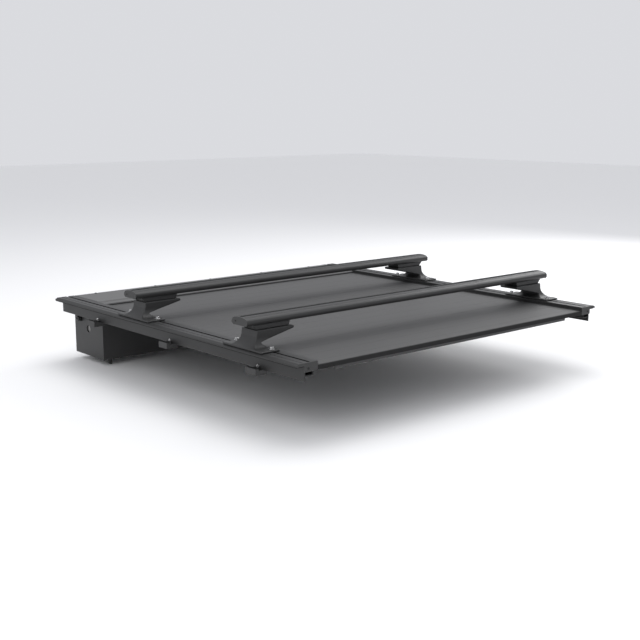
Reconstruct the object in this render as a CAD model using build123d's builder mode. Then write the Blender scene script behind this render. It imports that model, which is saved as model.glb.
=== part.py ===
"""Roll-up tonneau cover for a dual-cab pickup tub, with two cross bars on its rails.

Frame: +X is the vehicle's right, +Y points to the cab, +Z is up, in millimetres. The
origin is the centre of the canister's cab-side face, level with the top of the bed rails.
The cover reaches from Y = 0 at the cab to Y = -cover_length at the tailgate.
"""

from build123d import *
from math import asin, atan2, cos, sin
import os

# ---------------------------------------------------------------- driving dimensions
cover_length = 1480.0  # cab-side face to tailgate edge
cover_width = 1464.0  # over the outer edges of the two rails
slide_gap = 0.3  # air between pieces that slide on each other
shaft_clearance = 0.05  # radial, for a shaft that turns in a bore
fit_gap = 0.2  # air round a piece that is pushed into another

# rails
rail_width = 82.0
rail_top = 13.0
rail_wall = 3.0
rail_floor_wall = 3.4
web_thickness = 4.0
flange_width = 32.0  # part of the rail that rests on the bed rail
flange_edge = 7.0  # height of the flange's outer edge
flange_slope = 10.0  # width of the sloping outer edge
base_seal_height = 3.0
slot_from_inner_edge = 30.0  # centre of the T-slot
slot_mouth = 9.0
slot_width = 18.0
slot_depth = 5.8
slot_lip = 3.5
channel_depth = 22.0  # how deep the slat ends reach into the rail
channel_gap = 0.8  # air above and below a slat in the channel
gutter_height = 10.0
gutter_drop = 11.0  # gutter floor below the rail
gutter_offset = 14.0  # gutter lip, measured from the rail's inner edge
cap_thickness = 4.0

# curtain
slat_count = 16
slat_thickness = 12.0
slat_skin = 1.5
slat_seam = 0.3
slat_edge_bevel = 0.8
bead_radius = 3.5
bead_reach = 4.6  # bead centre beyond the slat's edge
neck_thickness = 3.0
slat_web = 2.0
slat_engagement = 8.0  # slat beyond the rail's inner edge
guide_length = 12.0  # end guide across the rail channel
guide_tongue = 26.0  # end guide inside the slat's chamber
leading_bar_depth = 42.0
leading_bar_pull = 16.0  # height of the pull flange under the leading bar
tail_seal_depth = 5.0
curtain_overlap = 8.0  # curtain inside the canister mouth when it is shut

# canister
canister_depth = 222.0
canister_height = 212.0
bulkhead_seal_thickness = 3.0
tray_wall = 2.0
tray_side_gap = 2.0
tray_rear_top = 42.0  # top of the tray's rear wall, below the bed rail
tray_flange = 18.0
lid_wall = 3.0
lid_step_depth = 34.0  # lower band along the lid's rear edge
lid_step = 4.5
lid_nose = 8.0
lid_lip_gap = 1.6  # lid's rear lip above the curtain
end_plate_wall = 4.0
end_plate_flange = 36.0
lid_screw_inset = 88.0  # last screw from the lid's end
lid_screw_count = 5
bulkhead_bolt_x = 900.0
bulkhead_bolt_z = 110.0
bulkhead_bolt_middle = -90.0
bulkhead_hole_radius = 4.5
lid_screw_radius = 2.5
lid_screw_head = 4.8
lid_screw_head_height = 2.2
drain_radius = 8.0  # barrel that a hose is pushed on
drain_length = 22.0
drain_wall = 2.0
drain_throat = 10.0  # radius where the spout goes through the tray's floor
drain_collar = 2.0
drain_side_inset = 40.0
drain_rear_inset = 30.0

# roll tube and drive
tube_radius = 35.0
tube_wall = 2.0
tube_end_gap = 38.0  # tube end to end plate
tube_offset = 1.0  # tube centre towards the cab and up, from the canister's middle
motor_radius = 22.5
motor_length = 460.0
motor_head_length = 24.0
motor_head_radius = 26.0
motor_shaft_radius = 6.0
bracket_thickness = 6.0
ring_width = 20.0
pin_radius = 8.0
bearing_radius = 18.0
gland_offset = 60.0  # gland centre from the tube, towards the cab
gland_height = -70.0
gland_radius = 10.0
roller_radius = 12.0
roller_wall = 2.0
axle_radius = 5.0
roller_inset = 17.0  # roller centre from the canister's rear face

# leader straps
strap_width = 40.0
strap_thickness = 1.5
strap_spacing = 420.0
strap_count = 3

# bed clamps
clamp_count = 3
clamp_shift = 0.55  # clamp within its share of the rail's length
clamp_width = 50.0
clamp_leg = 12.0
clamp_hook = 15.0  # clamp below the web
clamp_reach = 28.0  # jaw beyond the web's outer face
clamp_jaw = 12.0
clamp_bolt_radius = 4.0
clamp_bolt_below = 7.8  # bolt's centre below the gutter
clamp_bolt_above = 7.0  # and above the web's lower edge
clamp_bolt_sink = 2.5  # countersunk head, flush with the web's outer face

# cross bars
front_bar_y = -570.0
rear_bar_inset = 270.0  # from the tailgate edge
bar_overhang = 3.0  # bar end beyond the rail
bar_chord = 80.0
bar_thickness = 27.0
bar_underside = 88.0
bar_cap_thickness = 6.0
bar_slot_width = 14.0
bar_slot_channel = 24.0
foot_length = 204.0
foot_base_width = 70.0
foot_base_height = 7.0
foot_base_offset = 7.0  # base's inner edge beyond the rail's inner edge
foot_reach = 100.0  # foot's arm towards the middle, from the rail's inner edge
foot_neck = 22.0
cradle_height = 16.0
foot_bolt_inset = 14.0
bolt_radius = 4.0
bolt_head_radius = 6.5
bolt_head_height = 6.0
washer_radius = 9.0
washer_height = 1.6

# ---------------------------------------------------------------- worked-out places
rail_outer = cover_width / 2
rail_inner = rail_outer - rail_width
web_outer = rail_outer - flange_width
web_inner = web_outer - web_thickness
slot_x = rail_inner + slot_from_inner_edge
slot_roof = rail_top - slot_lip
slot_floor = slot_roof - slot_depth
channel_top = channel_gap
channel_floor = -slat_thickness - channel_gap
channel_back = rail_inner + channel_depth
rail_bottom = channel_floor - rail_floor_wall
gutter_floor = rail_bottom - gutter_drop
rail_rear = -cover_length + cap_thickness
clamp_bolt_z = gutter_floor - rail_wall - clamp_bolt_below
rail_drop = clamp_bolt_above - clamp_bolt_z  # how far the web hangs below the bed rail
clamp_drop = rail_drop + clamp_hook

canister_front = -bulkhead_seal_thickness
tray_half = rail_inner - tray_side_gap
tray_rear = -canister_depth + tray_wall
tray_bottom = -canister_height
lid_underside = rail_top - lid_wall
plate_inner = tray_half
plate_outer = plate_inner + end_plate_wall

curtain_front = -canister_depth + curtain_overlap
curtain_rear = -cover_length + tail_seal_depth
slat_pitch = (curtain_front - curtain_rear - leading_bar_depth) / slat_count
slat_half = rail_inner + slat_engagement
slat_middle = -slat_thickness / 2

tube_y = tube_offset - canister_depth / 2
tube_z = tube_offset - canister_height / 2
lid_screw_spacing = 2 * (tray_half - lid_screw_inset) / (lid_screw_count - 1)
tube_half = plate_inner - tube_end_gap
tube_bore = tube_radius - tube_wall
motor_head_outer = plate_inner - bracket_thickness
motor_head_inner = motor_head_outer - motor_head_length
motor_end = motor_head_inner - motor_length
roller_y = roller_inset - canister_depth
roller_z = -slat_thickness - slide_gap - roller_radius

rear_bar_y = rear_bar_inset - cover_length
bar_length = cover_width + 2 * bar_overhang
bar_half = bar_length / 2
foot_top_inner = rail_inner - foot_reach
foot_top = bar_underside - cradle_height
foot_base_inner = rail_inner + foot_base_offset
foot_base_outer = foot_base_inner + foot_base_width
foot_base_bottom = rail_top + slide_gap
foot_base_top = foot_base_bottom + foot_base_height
foot_bolt_offset = foot_length / 2 - foot_bolt_inset
clamp_places = [rail_rear * (n + clamp_shift) / clamp_count for n in range(clamp_count)]

os.makedirs("parts", exist_ok=True)


def save(piece, name):
    """Label a finished sub-part and write it to its own file."""
    piece.part.label = name
    export_step(piece.part, f"parts/{name}.step")


def band(low, high):
    """Rectangle between two corners of the sketch plane."""
    middle = ((low[0] + high[0]) / 2, (low[1] + high[1]) / 2)
    with Locations(middle):
        return Rectangle(high[0] - low[0], high[1] - low[1])


def gap(low, high):
    """Rectangle between two corners, taken out of the sketch."""
    middle = ((low[0] + high[0]) / 2, (low[1] + high[1]) / 2)
    with Locations(middle):
        return Rectangle(high[0] - low[0], high[1] - low[1], mode=Mode.SUBTRACT)


# ---------------------------------------------------------------- rails
# One extrusion: top with T-slot, inward channel for the slats, flange over the bed rail,
# web inside the tub and a gutter that stops where the canister begins.
with BuildPart() as right_rail:
    with BuildSketch(Plane.XZ):
        Polygon(
            (rail_inner, rail_top),
            (rail_outer - flange_slope, rail_top),
            (rail_outer, flange_edge),
            (rail_outer, base_seal_height),
            (web_outer, base_seal_height),
            (web_outer, -rail_drop),
            (web_inner, -rail_drop),
            (web_inner, rail_bottom),
            (rail_inner, rail_bottom),
            align=None,
        )
        gap((rail_inner, channel_floor), (channel_back, channel_top))
        gap((channel_back + rail_wall, channel_floor), (web_inner, channel_top))
        gap((slot_x - slot_width / 2, slot_floor), (slot_x + slot_width / 2, slot_roof))
        gap((slot_x - slot_mouth / 2, slot_roof), (slot_x + slot_mouth / 2, rail_top))
        gap(
            (rail_inner + rail_wall, slot_floor),
            (slot_x - slot_width / 2 - rail_wall, rail_top - rail_wall),
        )
        gap(
            (slot_x + slot_width / 2 + rail_wall, base_seal_height + rail_wall),
            (rail_outer - flange_slope - rail_wall, rail_top - rail_wall),
        )
    extrude(amount=-rail_rear)
    with BuildSketch(Plane.XZ.offset(canister_depth)):
        band(
            (rail_inner + gutter_offset, gutter_floor - rail_wall),
            (web_inner, gutter_floor),
        )
        band(
            (rail_inner + gutter_offset, gutter_floor),
            (rail_inner + gutter_offset + rail_wall, gutter_floor + gutter_height - slat_skin),
        )
    extrude(amount=-rail_rear - canister_depth)
    with Locations(*[Location((web_inner, y, clamp_bolt_z), (0, 90, 0)) for y in clamp_places]):
        Cylinder(clamp_bolt_radius + fit_gap, 4 * web_thickness, mode=Mode.SUBTRACT)
    for y in clamp_places:
        with BuildSketch(Plane((web_outer, y, clamp_bolt_z), (0, 1, 0), (1, 0, 0))):
            Circle(clamp_bolt_radius + clamp_bolt_sink + fit_gap)
        extrude(amount=-clamp_bolt_sink, taper=45, mode=Mode.SUBTRACT)
save(right_rail, "right_rail")

with BuildPart() as left_rail:
    mirror(right_rail.part, about=Plane.YZ)
save(left_rail, "left_rail")

# Lip of soft rubber along each rail's inner edge, just clear of the curtain.
with BuildPart() as rail_wiper_seals:
    with BuildSketch(Plane.XZ.offset(canister_depth + fit_gap)):
        for side in (-1, 1):
            Polygon(
                (side * rail_inner, 2.0),
                (side * rail_inner, 7.0),
                (side * (rail_inner - 1.6), 7.0),
                (side * (rail_inner - 2.2), 3.4),
                (side * (rail_inner - 6.0), 1.2),
                (side * (rail_inner - 6.0), slide_gap),
                (side * (rail_inner - 4.6), slide_gap),
                (side * (rail_inner - 1.6), 2.0),
                align=None,
            )
    extrude(amount=-rail_rear - canister_depth - fit_gap)
save(rail_wiper_seals, "rail_wiper_seals")

# Foam strip between each flange and the bed rail.
with BuildPart() as rail_base_seals:
    with BuildSketch(Plane.XZ):
        for side in (-1, 1):
            with Locations((side * (web_outer + flange_width / 2), base_seal_height / 2)):
                Rectangle(flange_width - 4.0, base_seal_height)
    extrude(amount=-rail_rear)
save(rail_base_seals, "rail_base_seals")

# Moulded cap on the tailgate end of each rail, with a peg in the rail's hollow.
peg_low = (channel_back + rail_wall + fit_gap, channel_floor + fit_gap)
peg_high = (web_inner - fit_gap, channel_top - fit_gap)
with BuildPart() as rail_end_caps:
    with BuildSketch(Plane.XZ.offset(-rail_rear)):
        for side in (-1, 1):
            Polygon(
                (side * rail_inner, rail_top),
                (side * (rail_outer - flange_slope), rail_top),
                (side * rail_outer, flange_edge),
                (side * rail_outer, base_seal_height),
                (side * web_outer, base_seal_height),
                (side * web_outer, rail_bottom),
                (side * rail_inner, rail_bottom),
                align=None,
            )
    extrude(amount=cap_thickness)
    with BuildSketch(Plane.XZ.offset(-rail_rear)):
        band(peg_low, peg_high)
        band((-peg_high[0], peg_low[1]), (-peg_low[0], peg_high[1]))
    extrude(amount=-ring_width)
save(rail_end_caps, "rail_end_caps")

# ---------------------------------------------------------------- rail clamps
# Each clamp hooks under the lip of the bed rail and is drawn in by a bolt through the web.
with BuildPart() as rail_clamps:
    for y in clamp_places:
        with BuildSketch(Plane.XZ.offset(-y - clamp_width / 2)):
            for side in (-1, 1):
                Polygon(
                    (side * (web_inner - clamp_leg), gutter_floor - rail_wall - fit_gap),
                    (side * web_inner, gutter_floor - rail_wall - fit_gap),
                    (side * web_inner, -rail_drop - fit_gap),
                    (side * (web_outer + clamp_reach - clamp_jaw), -rail_drop - fit_gap),
                    (side * (web_outer + clamp_reach - clamp_jaw), -rail_drop + 6.0),
                    (side * (web_outer + clamp_reach), -rail_drop + 6.0),
                    (side * (web_outer + clamp_reach), -clamp_drop),
                    (side * (web_inner - clamp_leg), -clamp_drop),
                    align=None,
                )
        extrude(amount=clamp_width)
        with Locations(*[
            Location((side * (web_inner - clamp_leg / 2), y, clamp_bolt_z), (0, 90, 0))
            for side in (-1, 1)
        ]):
            Cylinder(clamp_bolt_radius + fit_gap, 2 * clamp_leg, mode=Mode.SUBTRACT)
save(rail_clamps, "rail_clamps")

with BuildPart() as clamp_bolts:
    for y in clamp_places:
        for side in (-1, 1):
            leg_face = Plane(
                (side * (web_inner - clamp_leg), y, clamp_bolt_z), (0, 1, 0), (side, 0, 0)
            )
            web_face = leg_face.offset(clamp_leg + web_thickness)
            with BuildSketch(leg_face):
                RegularPolygon(bolt_head_radius, 6)
            extrude(amount=-bolt_head_height)
            with BuildSketch(leg_face.offset(-bolt_head_height)):
                Circle(clamp_bolt_radius)
            extrude(amount=bolt_head_height + clamp_leg + web_thickness)
            with BuildSketch(web_face):
                Circle(clamp_bolt_radius + clamp_bolt_sink)
            extrude(amount=-clamp_bolt_sink, taper=45)
save(clamp_bolts, "clamp_bolts")

# ---------------------------------------------------------------- canister
# Folded sheet: cab-side panel with a flange for the lid, floor, and low rear panel.
drain_x = tray_half - drain_side_inset
drain_y = tray_rear + drain_rear_inset
with BuildPart() as canister_tray:
    with BuildSketch(Plane.YZ):
        Polygon(
            (canister_front, lid_underside),
            (canister_front, tray_bottom),
            (tray_rear, tray_bottom),
            (tray_rear, -tray_rear_top),
            (tray_rear + tray_wall, -tray_rear_top),
            (tray_rear + tray_wall, tray_bottom + tray_wall),
            (canister_front - tray_wall, tray_bottom + tray_wall),
            (canister_front - tray_wall, lid_underside - tray_wall),
            (canister_front - tray_flange, lid_underside - tray_wall),
            (canister_front - tray_flange, lid_underside),
            align=None,
        )
    extrude(amount=tray_half, both=True)
    with BuildSketch(Plane.XZ.offset(-canister_front)):
        with Locations((0, bulkhead_bolt_middle)):
            with GridLocations(bulkhead_bolt_x, bulkhead_bolt_z, 2, 2):
                Circle(bulkhead_hole_radius)
    extrude(amount=tray_wall, mode=Mode.SUBTRACT)
    with BuildSketch(Plane.XY.offset(tray_bottom)):
        with Locations((-drain_x, drain_y), (drain_x, drain_y)):
            Circle(drain_throat + fit_gap)
    extrude(amount=tray_wall, mode=Mode.SUBTRACT)
    with BuildSketch(Plane.XY.offset(lid_underside - tray_wall)):
        with Locations((0, canister_front - tray_flange / 2)):
            with GridLocations(lid_screw_spacing, 1, lid_screw_count, 1):
                Circle(lid_screw_radius + fit_gap)
    extrude(amount=tray_wall, mode=Mode.SUBTRACT)
save(canister_tray, "canister_tray")

# Foam strips that seal the canister against the bulkhead; their face is the mounting plane.
with BuildPart() as bulkhead_seal:
    with BuildSketch(Plane.XZ):
        for low, high in ((-24.0, 6.0), (tray_bottom + 2.0, tray_bottom + 30.0)):
            band((-tray_half + 4.0, low), (tray_half - 4.0, high))
    extrude(amount=bulkhead_seal_thickness)
save(bulkhead_seal, "bulkhead_seal")

# Pressed end plates, each with a flange screwed up under the rail's channel.
with BuildPart() as right_end_plate:
    with BuildSketch(Plane.XZ.offset(-canister_front + 1.0)):
        band((plate_inner, tray_bottom), (plate_outer, rail_bottom))
        band(
            (plate_outer, rail_bottom - end_plate_wall),
            (plate_outer + end_plate_flange, rail_bottom),
        )
    extrude(amount=canister_depth + canister_front - 2.0)
    with BuildSketch(Plane.YZ.offset(plate_inner)):
        with Locations((roller_y, roller_z)):
            Circle(axle_radius + fit_gap)
        with Locations((tube_y, tube_z)):
            Circle(bearing_radius - 4.0)
    extrude(amount=end_plate_wall, mode=Mode.SUBTRACT)
save(right_end_plate, "right_end_plate")

gland_y = tube_y + gland_offset
gland_z = gland_height
with BuildPart() as left_end_plate:
    mirror(right_end_plate.part, about=Plane.YZ)
    with BuildSketch(Plane.YZ.offset(-plate_outer)):
        with Locations((gland_y, gland_z)):
            Circle(gland_radius + fit_gap)
    extrude(amount=end_plate_wall, mode=Mode.SUBTRACT)
save(left_end_plate, "left_end_plate")

# Extruded lid: flat top, a step down, and a rounded nose over the curtain.
step_top = rail_top - lid_step
with BuildPart() as canister_lid:
    with BuildSketch(Plane.YZ):
        with BuildLine():
            nose_start = (-canister_depth + lid_nose, step_top)
            nose_end = (-canister_depth, step_top - lid_nose / 2)
            inner_start = (-canister_depth + lid_nose, step_top - lid_wall)
            Polyline(
                (canister_front, lid_underside),
                (canister_front, rail_top),
                (-canister_depth + lid_step_depth + lid_step, rail_top),
                (-canister_depth + lid_step_depth, step_top),
                nose_start,
            )
            RadiusArc(nose_start, nose_end, -lid_nose)
            Polyline(
                nose_end,
                (-canister_depth, lid_lip_gap),
                (-canister_depth + lid_wall, lid_lip_gap),
                (-canister_depth + lid_wall, step_top - lid_nose / 2 - 0.5),
                inner_start,
                (-canister_depth + lid_step_depth + 1.2, step_top - lid_wall),
                (-canister_depth + lid_step_depth + lid_step + 1.2, lid_underside),
                (canister_front, lid_underside),
            )
        make_face()
    extrude(amount=tray_half, both=True)
    with BuildSketch(Plane.XY.offset(lid_underside)):
        with Locations((0, canister_front - tray_flange / 2)):
            with GridLocations(lid_screw_spacing, 1, lid_screw_count, 1):
                Circle(lid_screw_radius + fit_gap)
    extrude(amount=lid_wall, mode=Mode.SUBTRACT)
save(canister_lid, "canister_lid")

# Brush strip inside the lid's nose that sweeps the curtain.
with BuildPart() as lid_brush_seal:
    with BuildSketch(Plane.YZ):
        band(
            (-canister_depth + lid_wall, slide_gap),
            (-canister_depth + lid_wall + 2.4, step_top - lid_wall - 1.6),
        )
    extrude(amount=tray_half - 2.0, both=True)
save(lid_brush_seal, "lid_brush_seal")

# Button-head screws through the lid into the tray's flange, and up into each rail.
with BuildPart() as canister_screws:
    with BuildSketch(Plane.XY.offset(rail_top)):
        with Locations((0, canister_front - tray_flange / 2)):
            with GridLocations(lid_screw_spacing, 1, lid_screw_count, 1):
                Circle(lid_screw_head)
    extrude(amount=lid_screw_head_height)
    with BuildSketch(Plane.XY.offset(rail_top)):
        with Locations((0, canister_front - tray_flange / 2)):
            with GridLocations(lid_screw_spacing, 1, lid_screw_count, 1):
                Circle(lid_screw_radius)
    extrude(amount=-lid_wall - tray_wall - 4.0)
    with BuildSketch(Plane.XY.offset(rail_bottom - end_plate_wall)):
        for side in (-1, 1):
            with Locations((side * (plate_outer + end_plate_flange / 2), -canister_depth / 2)):
                with GridLocations(1, canister_depth - 60.0, 1, 2):
                    Circle(lid_screw_head)
    extrude(amount=-lid_screw_head_height)
save(canister_screws, "canister_screws")

# Flanged spouts in the two rear corners of the tray, for drain hoses.
drain_places = [(-drain_x, drain_y), (drain_x, drain_y)]
with BuildPart() as drain_spouts:
    with BuildSketch(Plane.XY.offset(tray_bottom + tray_wall)):
        with Locations(*drain_places):
            Circle(drain_throat + 5.0)
    extrude(amount=2.0)
    with BuildSketch(Plane.XY.offset(tray_bottom + tray_wall)):
        with Locations(*drain_places):
            Circle(drain_throat)
    extrude(amount=-tray_wall - drain_collar)
    with BuildSketch(Plane.XY.offset(tray_bottom - drain_collar)):
        with Locations(*drain_places):
            Circle(drain_radius)
    extrude(amount=-drain_length)
    with BuildSketch(Plane.XY.offset(tray_bottom + tray_wall + 2.0)):
        with Locations(*drain_places):
            Circle(drain_radius - drain_wall)
    extrude(amount=-drain_length - 2 * tray_wall - drain_collar, mode=Mode.SUBTRACT)
save(drain_spouts, "drain_spouts")

# Gland for the motor's lead, through the left end plate.
with BuildPart() as cable_gland:
    with BuildSketch(Plane.YZ.offset(-plate_outer)):
        with Locations((gland_y, gland_z)):
            RegularPolygon(gland_radius + 4.0, 6)
    extrude(amount=-8.0)
    with BuildSketch(Plane.YZ.offset(-plate_outer - 8.0)):
        with Locations((gland_y, gland_z)):
            Circle(gland_radius + 1.0)
    extrude(amount=-8.0)
    with BuildSketch(Plane.YZ.offset(-plate_outer)):
        with Locations((gland_y, gland_z)):
            Circle(gland_radius)
    extrude(amount=end_plate_wall + 8.0)
    with BuildSketch(Plane.YZ.offset(-plate_outer - 16.0)):
        with Locations((gland_y, gland_z)):
            Circle(3.5)
    extrude(amount=16.0 + end_plate_wall + 8.0, mode=Mode.SUBTRACT)
save(cable_gland, "cable_gland")

# ---------------------------------------------------------------- roll tube and drive
tube_axis = (tube_y, tube_z)


def disc(start, length, radius, bore=0.0):
    """Disc or ring on the roll tube's axis, from X = start to start + length."""
    with BuildSketch(Plane.YZ.offset(start)) as section:
        with Locations(tube_axis):
            Circle(radius)
            if bore:
                Circle(bore, mode=Mode.SUBTRACT)
    return extrude(section.sketch, amount=length, mode=Mode.PRIVATE)


with BuildPart() as roll_tube:
    add(disc(-tube_half, 2 * tube_half, tube_radius, tube_bore))
save(roll_tube, "roll_tube")

# Tubular motor: square-shouldered head outside the tube, long body inside it.
with BuildPart() as tubular_motor:
    with BuildSketch(Plane.YZ.offset(-motor_head_outer)):
        with Locations(tube_axis):
            RectangleRounded(2 * motor_head_radius, 2 * motor_head_radius, 8.0)
    extrude(amount=motor_head_length)
    add(disc(-motor_head_inner, motor_length, motor_radius))
    with BuildSketch(Plane.YZ.offset(-motor_end - 20.0)):
        with Locations(tube_axis):
            Circle(motor_shaft_radius + shaft_clearance)
    extrude(amount=20.0, mode=Mode.SUBTRACT)
save(tubular_motor, "tubular_motor")

# Plate that holds the motor's head on the left end plate.
with BuildPart() as motor_bracket:
    with BuildSketch(Plane.YZ.offset(-plate_inner)):
        with Locations(tube_axis):
            RectangleRounded(90.0, 90.0, 10.0)
    extrude(amount=plate_inner - motor_head_outer)
save(motor_bracket, "motor_bracket")

# Toothed wheel on the motor's output shaft that turns the tube.
with BuildPart() as motor_drive_wheel:
    add(disc(-motor_end + 4.0, ring_width, tube_bore))
    add(disc(-motor_end - 18.0, 24.0, motor_shaft_radius))
save(motor_drive_wheel, "motor_drive_wheel")

# Ring that carries the tube on the motor's body, next to the head.
with BuildPart() as motor_crown:
    add(disc(-tube_half, ring_width, tube_bore, motor_radius + shaft_clearance))
save(motor_crown, "motor_crown")

# Plug and pin at the idle end, and the flanged bearing that the pin turns in.
with BuildPart() as tube_end_plug:
    add(disc(tube_half - ring_width, ring_width, tube_bore))
    add(disc(tube_half, plate_outer - tube_half, pin_radius))
save(tube_end_plug, "tube_end_plug")

with BuildPart() as end_bearing:
    add(disc(plate_inner - 6.0, 6.0, bearing_radius, pin_radius + shaft_clearance))
    add(disc(plate_inner, end_plate_wall, bearing_radius - 4.0 - fit_gap, pin_radius + shaft_clearance))
save(end_bearing, "end_bearing")

# Roller under the canister's mouth that turns the curtain down towards the tube.
roller_half = plate_inner - 4.0
with BuildPart() as guide_roller:
    with BuildSketch(Plane.YZ):
        with Locations((roller_y, roller_z)):
            Circle(roller_radius)
            Circle(roller_radius - roller_wall, mode=Mode.SUBTRACT)
    extrude(amount=roller_half, both=True)
    for start in (-roller_half, roller_half - ring_width):
        with BuildSketch(Plane.YZ.offset(start)):
            with Locations((roller_y, roller_z)):
                Circle(roller_radius - roller_wall / 2)
                Circle(axle_radius + shaft_clearance, mode=Mode.SUBTRACT)
        extrude(amount=ring_width)
save(guide_roller, "guide_roller")

with BuildPart() as guide_roller_axle:
    with BuildSketch(Plane.YZ):
        with Locations((roller_y, roller_z)):
            Circle(axle_radius)
    extrude(amount=plate_outer, both=True)
save(guide_roller_axle, "guide_roller_axle")

# ---------------------------------------------------------------- curtain
# Hollow slats. The bead on each slat's cab side sits in the socket of the next one.
socket_radius = bead_radius + slat_seam
socket_reach = bead_reach
for number in range(1, slat_count + 1):
    rear = curtain_rear + leading_bar_depth + (number - 1) * slat_pitch
    front = rear + slat_pitch
    chamber_rear = rear + socket_reach + socket_radius + slat_web
    chamber_middle = (chamber_rear + front) / 2
    last = number == slat_count
    with BuildPart() as slat:
        with BuildSketch(Plane.YZ):
            Polygon(
                (rear + slat_seam / 2, -slat_thickness),
                (front - slat_seam / 2, -slat_thickness),
                (front - slat_seam / 2, -slat_edge_bevel),
                (front - slat_seam / 2 - slat_edge_bevel, 0),
                (rear + slat_seam / 2 + slat_edge_bevel, 0),
                (rear + slat_seam / 2, -slat_edge_bevel),
                align=None,
            )
            with Locations((rear + socket_reach, slat_middle)):
                Circle(socket_radius, mode=Mode.SUBTRACT)
            gap(
                (rear, slat_middle - neck_thickness / 2 - slat_seam),
                (rear + socket_reach, slat_middle + neck_thickness / 2 + slat_seam),
            )
            gap(
                (chamber_rear, -slat_thickness + slat_skin),
                (chamber_middle - slat_web / 2, -slat_skin),
            )
            gap(
                (chamber_middle + slat_web / 2, -slat_thickness + slat_skin),
                (front - slat_web, -slat_skin),
            )
            if not last:
                band(
                    (front - slat_web, slat_middle - neck_thickness / 2),
                    (front + bead_reach, slat_middle + neck_thickness / 2),
                )
                with Locations((front + bead_reach, slat_middle)):
                    Circle(bead_radius)
        extrude(amount=slat_half, both=True)
    save(slat, f"slat_{number:02d}")

# Stiff bar at the tailgate end, with a flange under it to pull and to latch.
bar_front = curtain_rear + leading_bar_depth
with BuildPart() as leading_bar:
    with BuildSketch(Plane.YZ):
        Polygon(
            (curtain_rear, -slat_thickness),
            (curtain_rear + 10.0, -slat_thickness),
            (curtain_rear + 10.0, -slat_thickness - leading_bar_pull),
            (curtain_rear + 13.0, -slat_thickness - leading_bar_pull),
            (curtain_rear + 13.0, -slat_thickness),
            (bar_front - slat_seam / 2, -slat_thickness),
            (bar_front - slat_seam / 2, 0),
            (curtain_rear + slat_edge_bevel, 0),
            (curtain_rear, -slat_edge_bevel),
            align=None,
        )
        gap(
            (curtain_rear + 3.0, -slat_thickness + 2.0),
            (bar_front - 3.0, -2.0),
        )
        band(
            (bar_front - slat_web, slat_middle - neck_thickness / 2),
            (bar_front + bead_reach, slat_middle + neck_thickness / 2),
        )
        with Locations((bar_front + bead_reach, slat_middle)):
            Circle(bead_radius)
    extrude(amount=slat_half, both=True)
    for side in (-1, 1):
        with Locations((side * rail_inner, curtain_rear + 11.5, -slat_thickness - leading_bar_pull / 2)):
            Box(2 * rail_width, 6.0, leading_bar_pull, mode=Mode.SUBTRACT)
save(leading_bar, "leading_bar")

with BuildPart() as tail_seal:
    with BuildSketch(Plane.YZ):
        Polygon(
            (curtain_rear, -slat_thickness),
            (curtain_rear, -1.0),
            (curtain_rear - 3.0, -1.0),
            (curtain_rear - tail_seal_depth, -4.0),
            (curtain_rear - tail_seal_depth, -slat_thickness - 3.0),
            (curtain_rear - 2.4, -slat_thickness - 3.0),
            align=None,
        )
    extrude(amount=rail_inner - 1.0, both=True)
save(tail_seal, "tail_seal")

# Nylon guides on both ends of every slat and of the leading bar: they run in the channels.
guide_rise = channel_gap - slide_gap
guide_edges = [
    curtain_rear + leading_bar_depth + n * slat_pitch for n in range(slat_count)
]
with BuildPart() as slat_end_guides:
    for rear in guide_edges:
        chamber_rear = rear + socket_reach + socket_radius + slat_web
        chamber_middle = (chamber_rear + rear + slat_pitch) / 2
        tongue_middle = (chamber_rear + chamber_middle - slat_web / 2) / 2
        tongue_depth = chamber_middle - slat_web / 2 - chamber_rear - 2 * fit_gap
        for side in (-1, 1):
            with Locations((side * (slat_half + guide_length / 2), rear + slat_pitch / 2, slat_middle)):
                Box(guide_length, slat_pitch - 4.0, slat_thickness + 2 * guide_rise)
            with Locations((side * (slat_half - guide_tongue / 2), tongue_middle, slat_middle)):
                Box(guide_tongue, tongue_depth, slat_thickness - 2 * slat_skin - 2 * fit_gap)
    for side in (-1, 1):
        with Locations(
            (side * (slat_half + guide_length / 2), curtain_rear + leading_bar_depth / 2, slat_middle)
        ):
            Box(guide_length, leading_bar_depth - 4.0, slat_thickness + 2 * guide_rise)
        with Locations(
            (side * (slat_half - guide_tongue / 2), curtain_rear + leading_bar_depth / 2, slat_middle)
        ):
            Box(guide_tongue, leading_bar_depth - 8.0, slat_thickness - 4.0 - 2 * fit_gap)
save(slat_end_guides, "slat_end_guides")

# Webbing straps that tie the last slat to the roll tube: level over the guide roller, then
# down to the point where they would meet the tube.
strap_start = Vector(curtain_front - slat_seam / 2, slat_middle)
strap_turn = Vector(roller_y + 15.0, slat_middle)
strap_drop = Vector(tube_y, tube_z) - strap_turn
strap_reach = tube_radius + slide_gap + strap_thickness / 2
strap_run = (strap_drop.length**2 - strap_reach**2) ** 0.5
strap_angle = atan2(strap_drop.Y, strap_drop.X) + asin(strap_reach / strap_drop.length)
strap_along = Vector(cos(strap_angle), sin(strap_angle))
strap_end = strap_turn + strap_along * strap_run
level_side = Vector(0, strap_thickness / 2)
sloped_side = Vector(-strap_along.Y, strap_along.X) * (strap_thickness / 2)
corner_side = (level_side + sloped_side) / (1 + strap_along.X)
with BuildPart() as leader_straps:
    with BuildSketch(Plane.YZ):
        Polygon(
            strap_start + level_side,
            strap_start - level_side,
            strap_turn - corner_side,
            strap_end - sloped_side,
            strap_end + sloped_side,
            strap_turn + corner_side,
            align=None,
        )
    extrude(amount=strap_width / 2, both=True)
    middle_strap = leader_straps.part
    for place in range(1, strap_count // 2 + 1):
        for side in (-1, 1):
            add(Pos(side * place * strap_spacing, 0, 0) * middle_strap)
save(leader_straps, "leader_straps")


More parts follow.
